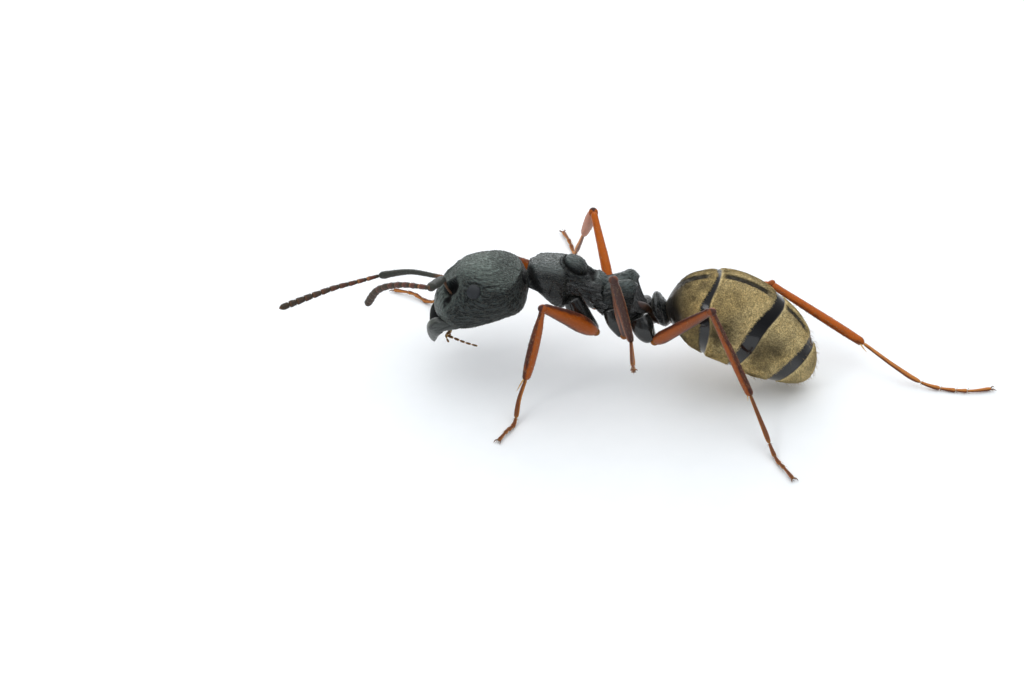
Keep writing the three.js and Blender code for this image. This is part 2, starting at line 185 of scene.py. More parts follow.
def curve(points, places):
    """Points and tangents at shares of the length of a centripetal Catmull-Rom curve."""
    p = np.array(points, float)
    p = np.vstack([2 * p[0] - p[1], p, 2 * p[-1] - p[-2]])
    gaps = np.linalg.norm(np.diff(p, axis=0), axis=1) ** 0.5
    s = np.linspace(0, 1, 60)[:, None]
    rows = []
    for i in range(1, len(p) - 2):
        d0, d1, d2 = gaps[i - 1 : i + 2]
        a, b, c, d = p[i - 1 : i + 3]
        m1 = ((b - a) / d0 - (c - a) / (d0 + d1) + (c - b) / d1) * d1
        m2 = ((c - b) / d1 - (d - b) / (d1 + d2) + (d - c) / d2) * d1
        cubic = (2 * b - 2 * c + m1 + m2) * s**3 + (3 * c - 3 * b - 2 * m1 - m2) * s**2
        rows.append(cubic + m1 * s + b)
    line = np.vstack([r if i == 0 else r[1:] for i, r in enumerate(rows)])
    length = np.r_[0, np.cumsum(np.linalg.norm(np.diff(line, axis=0), axis=1))]
    at = np.asarray(places, float) * length[-1]
    step = length[-1] * 1e-3

    def point(where):
        return np.stack([np.interp(where, length, line[:, k]) for k in range(3)], -1)

    inside = np.clip(at, step, length[-1] - step)
    return point(at), unit(point(inside + step) - point(inside - step))


def table(stations, places):
    """Smoothly interpolated columns of a table whose first column is the place."""
    rows = np.array(stations, float)
    x, y = rows[:, 0], rows[:, 1:]
    slopes = np.gradient(y, x, axis=0)
    places = np.asarray(places, float)
    i = np.clip(np.searchsorted(x, places, side="right") - 1, 0, len(x) - 2)
    h = (x[i + 1] - x[i])[..., None]
    s = np.clip((places[..., None] - x[i][..., None]) / h, 0, 1)
    return (
        y[i] * (2 * s**3 - 3 * s**2 + 1)
        + slopes[i] * h * (s**3 - 2 * s**2 + s)
        + y[i + 1] * (3 * s**2 - 2 * s**3)
        + slopes[i + 1] * h * (s**3 - s**2)
    )


def round_off(distance, share):
    return np.sqrt(1 - (1 - np.clip(distance / share, 0, 1)) ** 2)


def spaced(ends, rows):
    """Places from 0 to 1, closer together where an end rounds off."""
    s = np.linspace(0, 1, rows)
    nose, tail = ends
    nose_rows, tail_rows = [end / (nose + tail + 0.6) + 0.12 for end in ends]  # as shares
    middle = 1 - nose_rows - tail_rows
    out = np.where(
        s < nose_rows,
        nose * (1 - np.cos(np.pi / 2 * np.clip(s / nose_rows, 0, 1))),
        nose + (1 - nose - tail) * (s - nose_rows) / middle,
    )
    back = np.clip((1 - s) / tail_rows, 0, 1)
    return np.where(s > 1 - tail_rows, 1 - tail * (1 - np.cos(np.pi / 2 * back)), out)


def swept(spine, stations, ends, rows=60, sides=72, square=2.0, up=(0, 0, 1), places=None):
    """Rings of points about a spine. Each station is (place, half width, reach above,
    reach below). Returns the points, their places, their angles and the centres of
    their rings, all as grids."""
    if places is None:
        places = np.repeat(spaced(ends, rows)[:, None], sides, 1)
    angle = around(places.shape[1]) + 0 * places
    centre, tangent = curve(spine, places)
    across = unit(np.cross(tangent, up))
    above = np.cross(across, tangent)
    size = table(stations, places)
    end = round_off(places, ends[0]) * round_off(1 - places, ends[1])
    c, s = np.cos(angle), np.sin(angle)
    side = np.sign(c) * np.abs(c) ** (2 / square) * size[..., 0] * end
    rise = np.sign(s) * np.abs(s) ** (2 / square) * np.where(s > 0, size[..., 1], size[..., 2]) * end
    points = centre + across * side[..., None] + above * rise[..., None]
    return points, places, angle, centre


def pushed(grid, centre, push, share=1.0):
    """The grid with its points moved out from their centres, each axis by its share."""
    return grid + unit(grid - centre + 1e-9) * push[..., None] * share


def boxy(sides, above, below):
    """How square a section is round a ring, with its upper and its lower half told apart."""
    return below + (above - below) * smooth(-0.4, 0.4, np.sin(around(sides)))


def normals_of(grid):
    """Outward unit normals of a grid of rings."""
    across = np.roll(grid, -1, 1) - np.roll(grid, 1, 1)
    normal = unit(np.cross(across, np.gradient(grid, axis=0)))
    outward = grid - grid.mean(1, keepdims=True)
    return -normal if np.sum(normal * outward) < 0 else normal


def near(grid, centre, radius, power=2):
    """1 at a point, falling to 0 beyond a radius (one number or three)."""
    away = np.linalg.norm((grid - np.asarray(centre)) / radius, axis=-1)
    return np.exp(-(away**power))


def near_line(grid, points, radius):
    """1 on a polyline, falling to 0 beyond a radius."""
    points = np.array(points, float)
    best = np.full(grid.shape[:-1], 1e9)
    for a, b in zip(points[:-1], points[1:]):
        share = np.clip(((grid - a) @ (b - a)) / ((b - a) @ (b - a)), 0, 1)
        best = np.minimum(best, np.linalg.norm(grid - a - share[..., None] * (b - a), axis=-1))
    return np.exp(-((best / radius) ** 2))


def both_sides(grid):
    """The grid with its right half mirrored onto the left, to shape both alike."""
    return np.concatenate([np.abs(grid[..., :1]), grid[..., 1:]], -1)


CELLS = np.random.default_rng(3).random((67, 61, 59))


def wander(points, size):
    """Smooth random values from 0 to 1 in space, with grains of the given size."""
    where = np.asarray(points) / size + 500
    low = np.floor(where).astype(int)
    share = where - low
    share = share * share * (3 - 2 * share)
    total = 0
    for corner in np.ndindex(2, 2, 2):
        cell = (low + corner) % CELLS.shape
        weight = np.prod(np.where(corner, share, 1 - share), axis=-1)
        total = total + weight * CELLS[cell[..., 0], cell[..., 1], cell[..., 2]]
    return total


def folds(lie, size):
    """Sharp-crested wrinkles, from 0 in their valleys to 1 on their crests."""
    bent = lie + 0.8 * size * (wander(lie, size * 2.6)[..., None] - 0.5)
    return 1 - np.abs(2 * wander(bent, size) - 1) ** 1.2


# ---------------------------------------------------------------- meshes


class Piece:
    """Gathers grids, each with its marks, and hairs into one mesh object."""

    def __init__(self, *grids):
        self.verts, self.faces, self.marks, self.maps = [], [], [], []
        self.count = 0
        for points, marks in grids:
            self.grid(points, marks)

    def add(self, verts, faces, marks):
        self.verts.append(verts)
        self.faces += [tuple(int(k) + self.count for k in f) for f in faces]
        self.marks.append(marks)
        self.count += len(verts)

    def grid(self, points, marks, caps=(True, True)):
        """Rings of points, closed round, with each end drawn in to a point."""
        rows, sides = points.shape[:2]
        verts = points.reshape(-1, 3)
        r, c = np.meshgrid(np.arange(rows - 1), np.arange(sides), indexing="ij")
        n = (c + 1) % sides
        faces = np.stack([r * sides + c, r * sides + n, (r + 1) * sides + n, (r + 1) * sides + c], -1)
        faces = [tuple(f) for f in faces.reshape(-1, 4)]
        ring = np.arange(sides)
        flat = {}
        for key, value in marks.items():
            value = np.asarray(value, float)
            flat[key] = (value if value.ndim else np.full(rows * sides, value)).reshape(rows * sides, -1)
        for capped, row in ((caps[0], 0), (caps[1], rows - 1)):
            if capped:
                first, pole = row * sides, len(verts)
                verts = np.vstack([verts, points[row].mean(0)])
                fan = np.stack([first + (ring + 1) % sides, first + ring, np.full(sides, pole)], -1)
                faces += [tuple(f) for f in (fan if row == 0 else fan[:, [1, 0, 2]])]
                flat = {k: np.vstack([v, v[first : first + sides].mean(0)]) for k, v in flat.items()}
        corner = verts[[f[:3] for f in faces]]
        if np.einsum("ij,ij->", corner[:, 0], np.cross(corner[:, 1], corner[:, 2])) < 0:
            faces = [f[::-1] for f in faces]
        self.add(verts, faces, flat)

    def hairs(self, root, lie, normal, length, radius, lift, bend, where, marks=None):
        """Three-sided tapered hairs. Each is mapped to a small patch at its root."""
        n = len(root)
        length, radius, lift = [np.broadcast_to(v, n)[:, None] for v in (length, radius, lift)]
        start = unit(lie * np.cos(lift) + normal * np.sin(lift))
        later = unit(lie * np.cos(lift - bend) + normal * np.sin(lift - bend))
        side = unit(np.cross(start, normal))
        other = np.cross(side, start)
        corners = [(side * math.cos(a) + other * math.sin(a)) * radius for a in (0.5, 2.6, 4.7)]
        base = [root - normal * radius + k for k in corners]
        waist = [root + start * length * 0.5 + k * 0.75 for k in corners]
        tip = root + start * length * 0.5 + later * length * 0.5
        verts = np.stack(base + waist + [tip], 1).reshape(-1, 3)
        pattern = [(0, 1, 4, 3), (1, 2, 5, 4), (2, 0, 3, 5), (3, 4, 6), (4, 5, 6), (5, 3, 6)]
        first = np.arange(n)[:, None] * 7
        faces = [tuple(f) for shape in pattern for f in (first + np.array(shape))]
        patch = np.array([(0, 0), (1, 0), (2, 0), (0, 1.5), (1, 1.5), (2, 1.5), (1, 3)]) * 0.001
        self.maps.append((where[:, None, :] + patch[None]).reshape(-1, 2))
        self.add(verts, faces, {k: np.repeat(v.reshape(n, -1), 7, 0) for k, v in (marks or {}).items()})

    def make(self, name, material, node=None):
        """Makes the mesh object, which stands in for the CAD node, if one is named."""
        verts = (np.vstack(self.verts) + SHIFT) / MM
        verts[:, 2] = np.maximum(verts[:, 2], 0)
        mesh = bpy.data.meshes.new(name)
        mesh.from_pydata(verts.tolist(), [], self.faces)
        mesh.polygons.foreach_set("use_smooth", np.ones(len(mesh.polygons), bool))
        for key in self.marks[0]:
            values = np.vstack([m[key] for m in self.marks])
            kind, field = ("FLOAT_VECTOR", "vector") if values.shape[1] == 3 else ("FLOAT", "value")
            layer = mesh.attributes.new(key, kind, "POINT")
            layer.data.foreach_set(field, values.ravel().astype(np.float32))
        if self.maps:
            layer = mesh.uv_layers.new(name="OFBake")
            index = np.zeros(len(mesh.loops), np.int32)
            mesh.loops.foreach_get("vertex_index", index)
            layer.data.foreach_set("uv", np.vstack(self.maps)[index].ravel().astype(np.float32))
        mesh.materials.append(material)
        made = bpy.data.objects.new(name, mesh)
        bpy.context.collection.objects.link(made)
        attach(made, "root")
        if node:
            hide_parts(node)


def scatter(grid, weight, count):
    """Random places on a grid of rings: positions, normals, the way along, the cell
    coordinates as shares of the whole grid, and what picks a grid's values there."""
    rows, sides = grid.shape[:2]
    here, right, ahead = grid[:-1], np.roll(grid, -1, 1)[:-1], grid[1:]
    weight = np.broadcast_to(weight, (rows, sides))[:-1]
    area = np.linalg.norm(np.cross(right - here, ahead - here), axis=-1) * weight
    share = np.cumsum(area.ravel())
    cell = np.searchsorted(share, rng.random(count) * share[-1])
    r, c = np.unravel_index(np.minimum(cell, area.size - 1), area.shape)
    a, b = rng.random(count), rng.random(count)

    def pick(values):
        n = (c + 1) % sides
        low = values[r, c] * (1 - b)[:, None] + values[r, n] * b[:, None]
        high = values[r + 1, c] * (1 - b)[:, None] + values[r + 1, n] * b[:, None]
        return low * (1 - a)[:, None] + high * a[:, None]

    normal = unit(pick(normals_of(grid)))
    along = pick(np.gradient(grid, axis=0))
    along = unit(along - normal * np.sum(along * normal, 1)[:, None])
    where = np.stack([(c + b) / sides, (r + a) / (rows - 1)], -1)
    return pick(grid), normal, along, where * 0.99 + 0.003, pick


# ---------------------------------------------------------------- materials


class Shader:
    """A material's node tree, with short ways to add nodes to it."""

    def __init__(self, name):
        self.material = bpy.data.materials.new(name)
        self.material.use_nodes = True
        self.tree = self.material.node_tree
        self.tree.nodes.clear()
        self.bsdf = self.node("ShaderNodeBsdfPrincipled")
        self.node("ShaderNodeOutputMaterial", {"Surface": self.bsdf.outputs[0]})
        self.place = self.node("ShaderNodeTexCoord").outputs["Object"]

    def node(self, kind, sockets=None, **settings):
        made = self.tree.nodes.new(kind)
        for key, value in settings.items():
            setattr(made, key, value)
        for key, value in (sockets or {}).items():
            self.join(value, made.inputs[key])
        return made

    def join(self, value, socket):
        if isinstance(value, bpy.types.NodeSocket):
            self.tree.links.new(value, socket)
        else:
            socket.default_value = value

    def set(self, **sockets):
        for key, value in sockets.items():
            self.join(value, self.bsdf.inputs[key.replace("_", " ")])

    def mark(self, name, vector=False):
        made = self.node("ShaderNodeAttribute", attribute_name=name)
        return made.outputs["Vector" if vector else "Fac"]

    def noise(self, size, where=None, detail=2.0, rough=0.55, warp=0.0):
        """Noise whose grains are about size millimetres. The mark lie is in millimetres."""
        sockets = {"Vector": where or self.place, "Detail": detail, "Roughness": rough}
        sockets.update({"Scale": MM / size if where is None else 1 / size, "Distortion": warp})
        return self.node("ShaderNodeTexNoise", sockets).outputs["Fac"]

    def math(self, kind, a, b, clamp=False):
        return self.node("ShaderNodeMath", {0: a, 1: b}, operation=kind, use_clamp=clamp).outputs[0]

    def plus(self, a, b):
        return self.math("ADD", a, b)

    def less(self, a, b, clamp=False):
        return self.math("SUBTRACT", a, b, clamp)

    def times(self, a, b):
        return self.math("MULTIPLY", a, b)

    def spread(self, value, low, high, most=1.0):
        """0 up to low, and most from high on."""
        sockets = {"Value": value, "From Min": low, "From Max": high, "To Min": 0.0, "To Max": most}
        return self.node("ShaderNodeMapRange", sockets, interpolation_type="SMOOTHSTEP").outputs["Result"]

    def mix(self, share, a, b):
        a, b = [v if isinstance(v, bpy.types.NodeSocket) else (*v, 1) for v in (a, b)]
        return self.node("ShaderNodeMix", {0: share, 6: a, 7: b}, data_type="RGBA").outputs[2]

    def bump(self, height, depth, before=None):
        """A bump of the given depth in millimetres, on top of another where one is given."""
        sockets = {"Height": height, "Distance": depth / MM}
        if before is not None:
            sockets["Normal"] = before
        return self.node("ShaderNodeBump", sockets).outputs[0]


PAINTED_LIGHT_LIFT = (5.4, 5.1, 4.6)  # how much lighter the painted light is than a shell's light tone


def shell_material(name, dark, light, wrinkle, grain, depth, roughness, sheen):
    """Black shell with wrinkles that follow the mark lie, painted shade in their valleys and in the pits, and
    painted grey light where the mark painted_light is.
    """
    s = Shader(name)
    waves = s.spread(s.noise(wrinkle, s.mark("lie", vector=True), 1.5, 0.5, warp=0.3), 0.41, 0.59)
    specks, broad = s.noise(grain), s.noise(0.5)
    pits, gloss = s.mark("pit"), s.mark("gloss")
    relief = s.times(s.less(waves, 0.5), s.mark("rough"))
    # Painted shade in the wrinkles' valleys and painted light on their crests, with random tone from the two
    # noises.
    tone_and_crease_shade = s.plus(s.plus(relief, s.times(broad, 0.4)), s.times(specks, 0.3))
    colour = s.mix(s.spread(tone_and_crease_shade, 0.05, 0.65), dark, light)
    # Painted light where the mark painted_light is, stronger on the wrinkles' crests.
    painted_light = s.times(s.mark("painted_light"), s.plus(1.0, s.times(relief, 0.6)))
    colour = s.mix(painted_light, colour, [tone * lift for tone, lift in zip(light, PAINTED_LIGHT_LIFT)])
    colour = s.mix(s.times(gloss, 0.8), colour, (0.002, 0.0025, 0.003))
    # Painted shade in the pits.
    colour = s.mix(pits, colour, (0.003, 0.003, 0.003))
    rough = s.plus(s.less(roughness, s.times(gloss, 0.3)), s.times(specks, 0.1))
    s.set(Base_Color=colour, Roughness=s.plus(rough, s.times(pits, 0.4)), Specular_IOR_Level=0.26)
    s.set(Normal=s.bump(specks, depth * 0.12, s.bump(relief, depth)))
    s.set(Coat_Weight=s.less(gloss, pits, clamp=True), Coat_Roughness=0.1)
    s.set(Sheen_Weight=sheen, Sheen_Roughness=0.4, Sheen_Tint=(0.84, 0.84, 0.74, 1))
    return s.material


def gaster_material(name, hair=False):
    """Olive-gold fur lying flat on brown-black shell, and bare glossy bands."""
    s = Shader(name)
    gold = s.mark("gold")
    fine = s.noise(0.028)
    patches, soft = s.noise(0.42, detail=3.0, rough=0.6), s.noise(1.1, detail=1.0)
    fur = s.mix(s.spread(patches, 0.32, 0.62), (0.36, 0.27, 0.122), (0.86, 0.65, 0.285))
    fur = s.mix(s.spread(soft, 0.42, 0.62, 0.5), fur, (0.92, 0.74, 0.38))
    # Painted shade on the fur where the mark shade is.
    fur = s.mix(s.mark("shade"), fur, (0.012, 0.01, 0.006))
    fur = s.mix(s.spread(fine, 0.36, 0.66), s.mix(0.62, fur, (0.05, 0.038, 0.016)), fur)
    bare = (0.02, 0.018, 0.014) if hair else (0.006, 0.006, 0.007)
    s.set(Base_Color=s.mix(gold, bare, fur), Specular_IOR_Level=0.18)
    if hair:
        s.set(Roughness=0.55)
        return s.material
    strands = s.noise(0.03, s.mark("lie", vector=True), rough=0.6)
    height = s.times(s.plus(strands, s.times(fine, 0.6)), gold)
    s.set(Roughness=s.plus(0.16, s.times(gold, 0.46)), Normal=s.bump(height, 0.012))
    s.set(Sheen_Weight=0.1, Sheen_Roughness=0.4, Sheen_Tint=(1.0, 0.86, 0.62, 1))
    bare_share = s.less(s.less(1.0, s.mark("matte")), gold, clamp=True)
    s.set(Coat_Weight=s.times(bare_share, 0.7), Coat_Roughness=0.08)
    return s.material


def limb_material(name, edge, core, tip, roughness, glow):
    """See-through chestnut shell with a painted orange glow in its core between dark edges, painted shade
    where the mark dusk is, and darker at joints.
    """
    s = Shader(name)
    streaks = s.noise(0.05, s.mark("lie", vector=True), detail=2.5)
    # The mark core paints the light that shines through the limb's core.
    share = s.plus(s.mark("core"), s.times(s.less(streaks, 0.5), 0.9))
    share = s.plus(share, s.times(s.less(s.noise(0.3), 0.5), 0.7))
    colour = s.mix(s.spread(share, 0.1, 1.05), edge, core)
    colour = s.mix(s.mark("joint"), colour, tip)
    # Painted shade where the mark dusk is.
    colour = s.mix(s.mark("dusk"), colour, (0.07, 0.04, 0.034))
    fine = s.noise(0.022, detail=1.5)
    s.set(Base_Color=colour, Roughness=s.plus(roughness - 0.06, s.times(fine, 0.14)))
    s.set(Normal=s.bump(s.plus(streaks, s.times(fine, 0.4)), 0.006), Specular_IOR_Level=0.14)
    s.set(Subsurface_Weight=glow, Subsurface_Radius=(1.0, 0.35, 0.1), Subsurface_Scale=0.00012)
    return s.material


def plain_material(name, colour, other, roughness, **settings):
    """Two tones of one colour in fine grains."""
    s = Shader(name)
    grains = s.noise(0.05)
    s.set(Base_Color=s.mix(s.spread(grains, 0.35, 0.65), colour, other), Roughness=roughness)
    s.set(Normal=s.bump(grains, 0.004), **settings)
    return s.material


def eye_material():
    """Dull slate, domed facets."""
    s = Shader("eye_facets")
    cell = s.node("ShaderNodeTexVoronoi", {"Vector": s.place, "Scale": MM / 0.017, "Randomness": 0.35})
    dome = s.less(1.0, cell.outputs["Distance"])
    broad = s.noise(0.12, detail=3.0)
    colour = s.mix(s.spread(broad, 0.35, 0.65), (0.016, 0.019, 0.023), (0.028, 0.032, 0.037))
    # Painted shade in the seams between the facets.
    colour = s.mix(s.spread(dome, 0.25, 0.65), (0.008, 0.009, 0.011), colour)
    s.set(Base_Color=colour, Roughness=0.42, Normal=s.bump(dome, 0.006), Specular_IOR_Level=0.35)
    return s.material


HEAD_SHELL = shell_material("head_shell", (0.003, 0.005, 0.005), (0.031, 0.041, 0.04),
                            wrinkle=0.042, grain=0.02, depth=0.054, roughness=0.42, sheen=0.06)
TRUNK_SHELL = shell_material("trunk_shell", (0.002, 0.003, 0.0035), (0.015, 0.02, 0.021),
                             wrinkle=0.05, grain=0.025, depth=0.09, roughness=0.32, sheen=0.02)
COXA_SHELL = shell_material("coxa_shell", (0.004, 0.004, 0.004), (0.026, 0.026, 0.023),
                            wrinkle=0.05, grain=0.03, depth=0.012, roughness=0.34, sheen=0.05)
MANDIBLE = shell_material("mandible_shell", (0.022, 0.025, 0.023), (0.075, 0.083, 0.076),
                          wrinkle=0.07, grain=0.03, depth=0.003, roughness=0.38, sheen=0.15)
GASTER_SHELL = gaster_material("gaster_shell")
GASTER_FUR = gaster_material("gaster_fur", hair=True)
EYE = eye_material()
# Each limb's shell: its edge, its painted glowing core and its joints, how rough it is and how it glows.
LEG_SHELL, TARSUS, FEELER, WHIP, PALP, SINEW = [
    limb_material(*look)
    for look in (
        ("leg_shell", (0.055, 0.012, 0.007), (0.46, 0.098, 0.003), (0.3, 0.11, 0.02), 0.36, 0.04),
        ("tarsus_shell", (0.17, 0.055, 0.018), (0.52, 0.2, 0.045), (0.62, 0.34, 0.1), 0.4, 0.25),
        ("feeler_shell", (0.044, 0.046, 0.038), (0.06, 0.05, 0.04), (0.36, 0.12, 0.035), 0.45, 0.03),
        ("whip_shell", (0.055, 0.04, 0.028), (0.125, 0.045, 0.032), (0.42, 0.19, 0.07), 0.45, 0.05),
        ("palp_shell", (0.13, 0.075, 0.03), (0.4, 0.22, 0.07), (0.75, 0.52, 0.22), 0.35, 0.3),
        ("sinew", (0.03, 0.016, 0.01), (0.22, 0.085, 0.03), (0.4, 0.22, 0.08), 0.35, 0.1),
    )
]
CLAW = plain_material("claw_horn", (0.1, 0.035, 0.015), (0.2, 0.075, 0.025), 0.3, Specular_IOR_Level=0.5)
SPUR = plain_material("spur_gold", (0.55, 0.3, 0.08), (0.7, 0.42, 0.14), 0.4)
GREY_HAIR = plain_material("grey_hair", (0.06, 0.063, 0.055), (0.11, 0.11, 0.09), 0.5)
PALE_HAIR = plain_material("pale_hair", (0.26, 0.17, 0.08), (0.38, 0.28, 0.15), 0.5)


# ---------------------------------------------------------------- head

# The head's frame in the ant's: pitched down about X, then turned about Z.
cos_turn, sin_turn = math.cos(HEAD_TURN), math.sin(HEAD_TURN)
cos_pitch, sin_pitch = math.cos(HEAD_PITCH), math.sin(HEAD_PITCH)
HEAD_TURNED = np.array([
    [cos_turn, -sin_turn * cos_pitch, sin_turn * sin_pitch],
    [sin_turn, cos_turn * cos_pitch, -cos_turn * sin_pitch],
    [0, sin_pitch, cos_pitch],
])


def from_head(points):
    """Points of the head's own frame, in the ant's."""
    return np.asarray(points) @ HEAD_TURNED.T + HEAD_CENTRE


SKULL_SPINE = [(0, HEAD_LENGTH / 2, 0.04), (0, 0, 0), (0, -HEAD_LENGTH / 2, -0.04)]
SKULL_STATIONS = [
    (t, w * HEAD_WIDTH / 2, a * HEAD_DEPTH / 2, b * HEAD_DEPTH / 2)
    for t, w, a, b in [
        (0, 0.95, 0.16, 1.06), (0.18, 1, 0.75, 1.12), (0.35, 1, 1.0, 1.12), (0.5, 0.97, 1.04, 1.07),
        (0.65, 0.92, 0.89, 1.0), (0.82, 0.84, 0.74, 0.9), (1, 0.7, 0.51, 0.64),
    ]
]


def skin_lie(points):
    """The way the head's wrinkles run: along it, bowed down between eye and crown."""
    x, y, z = np.moveaxis(from_head(points), -1, 0)
    bow = 0.55 * smooth(1.75, 2.4, z) - 0.06
    return np.stack([x, z - bow * (y + 0.33) ** 2, y * 0.22], -1)


def head_shell():
    """The skull in its own frame, with its marks."""
    ends, sides = (0.24, 0.24), 380
    places = np.repeat(spaced(ends, 258)[:, None], sides, 1)
    upper = smooth(-0.1, 0.4, np.sin(around(sides)))
    square = 2.25 - (0.3 + 0.15 * smooth(0.5, 0.2, places)) * upper
    grid, _, _, centre = swept(SKULL_SPINE, SKULL_STATIONS, ends, square=square, places=places)
    half = both_sides(grid)

    # The pit of each feeler, with the raised ridge on its inner side, and the smaller
    # pit in front of it.
    socket = near(half, SOCKET, (0.155, 0.205, 0.3), 4)
    pit = near(half, (0.63, -0.53, 0.3), (0.075, 0.1, 0.1), 3)
    trough = near_line(half, [(0.5, -0.45, 0.44), (0.62, -0.52, 0.32), (0.68, -0.62, 0.18)], 0.06)
    ridge = near_line(half, [(0.2, -0.8, 0.36), (0.24, -0.55, 0.5), (0.33, -0.22, 0.6)], 0.05)
    frons = near(half, (0.22, -0.12, 0.64), (0.42, 0.5, 0.35))
    push = 0.055 * ridge + 0.06 * frons - 0.2 * socket - 0.08 * pit - 0.05 * trough * (1 - socket)

    # The plate over the mouth, bounded by a fine groove.
    plate = near(half, (0, -1.0, 0.1), (0.44, 0.3, 0.36), 4)
    edge = near_line(half, [(0.18, -0.76, 0.42), (0.42, -0.84, 0.22), (0.5, -0.93, -0.05)], 0.024)
    push += 0.04 * plate - 0.03 * edge

    # A shallow hollow round each eye, the groove along the crown, the lower corners at
    # the back, and the hollow where the neck joins.
    away = np.linalg.norm(half - np.array(EYE_PLACE), axis=-1)
    push -= 0.018 * np.exp(-(((away - EYE_RADIUS - 0.01) / 0.03) ** 2))
    crown = np.exp(-((grid[..., 0] / 0.05) ** 2)) * smooth(0.35, 0.9, grid[..., 1])
    push -= 0.03 * crown * smooth(0.1, 0.4, grid[..., 2])
    push += 0.1 * near(half, (0.55, 0.98, -0.42), (0.42, 0.3, 0.36))
    push -= 0.08 * near(grid, (0, 1.1, 0.1), (0.34, 0.3, 0.3))

    # Wrinkles, fainter on the crown and on the smooth plate, and none in the pits.
    # dark is painted shade in the feeler's pit, the small pit and the trough.
    dark = np.clip(1.25 * socket + pit + 0.6 * trough, 0, 1)
    smoother = np.clip(plate + 0.7 * near(half, (0.55, -0.78, 0.05), (0.2, 0.22, 0.25)), 0, 1)
    crests = 0.8 * folds(skin_lie(grid), 0.075) + 0.8 * folds(skin_lie(grid) + 9, 0.05)
    crown_top = smooth(0.4, 0.68, grid[..., 2])
    push += 0.015 * (crests - 0.8) * (1 - dark) * (1 - 0.8 * smoother) * (1 - 0.6 * crown_top)
    grid = pushed(grid, centre, push)

    # The mouth: what lies past its rim is cut back to a floor inside it.
    depth = grid @ MOUTH_FACING - MOUTH_RIM
    inside = smooth(0.0, 0.04, depth) * smooth(-0.42, -0.56, grid[..., 1])
    grid = grid - MOUTH_FACING * (inside * (depth + MOUTH_DEPTH))[..., None]

    # Painted shade in the pits and the mouth, and painted light where the head faces up and where it faces
    # forward.
    rearward, upward = np.moveaxis(normals_of(grid) @ HEAD_TURNED.T, -1, 0)[1:]
    return grid, {
        "lie": skin_lie(grid),
        "pit": np.clip(dark + 1.2 * inside, 0, 1),
        "rough": (0.9 - 0.7 * smoother) * (1 - dark) * (1 - 0.45 * crown_top),
        "gloss": 0.25 * smoother + 0.2 * dark,
        "painted_light": (0.9 - 0.35 * smooth(0.3, 0.95, grid[..., 1])) * smooth(0.62, 1.04, upward)
        + 0.5 * smooth(-0.3, -0.8, rearward),
    }


def dome(centre, facing, radius, height, rows=24, sides=56):
    """A low dome standing on a disc, as rings."""
    facing = unit(np.array(facing))
    across = unit(np.cross(facing, (0, 1, 0.2)))
    other = np.cross(facing, across)
    tilt = np.linspace(0.02, 0.72 * np.pi, rows)[:, None, None]
    angle = around(sides)[..., None]
    flat = (across * np.cos(angle) + other * np.sin(angle)) * np.sin(tilt) * radius
    return np.asarray(centre) + flat + facing * np.cos(tilt) * height


def make_head():
    grid, marks = head_shell()
    Piece((from_head(grid), marks)).make("head_shell", HEAD_SHELL, "head")
    for name, side in SIDES.items():
        eye = dome(EYE_PLACE, EYE_FACING, EYE_RADIUS, EYE_BULGE) * [side, 1, 1]
        Piece((from_head(eye), {})).make("eye_" + name + "_facets", EYE, "eye_" + name)
        make_mandible(name, side)
    mouth = Piece()
    for x in (-0.13, 0.13):
        spine = [(x, -0.62, -0.52), (x * 0.9, -0.84, -0.56), (x * 0.7, -1.0, -0.5)]
        stations = [(0, 0.1, 0.07, 0.07), (0.5, 0.12, 0.08, 0.1), (1, 0.08, 0.05, 0.05)]
        lump = swept(spine, stations, (0.4, 0.5), 24, 24)[0]
        # The lumps carry painted shade.
        mouth.grid(from_head(lump), jaw_marks(lump, 0.6))
    mouth.make("mouthparts", COXA_SHELL)
    return from_head(grid), marks


def jaw_marks(grid, pit=0.0, rough=0.3, gloss=0.3, painted_light=0.0):
    return {"lie": grid * [1, 0.25, 1], "pit": pit, "rough": rough, "gloss": gloss, "painted_light": painted_light}


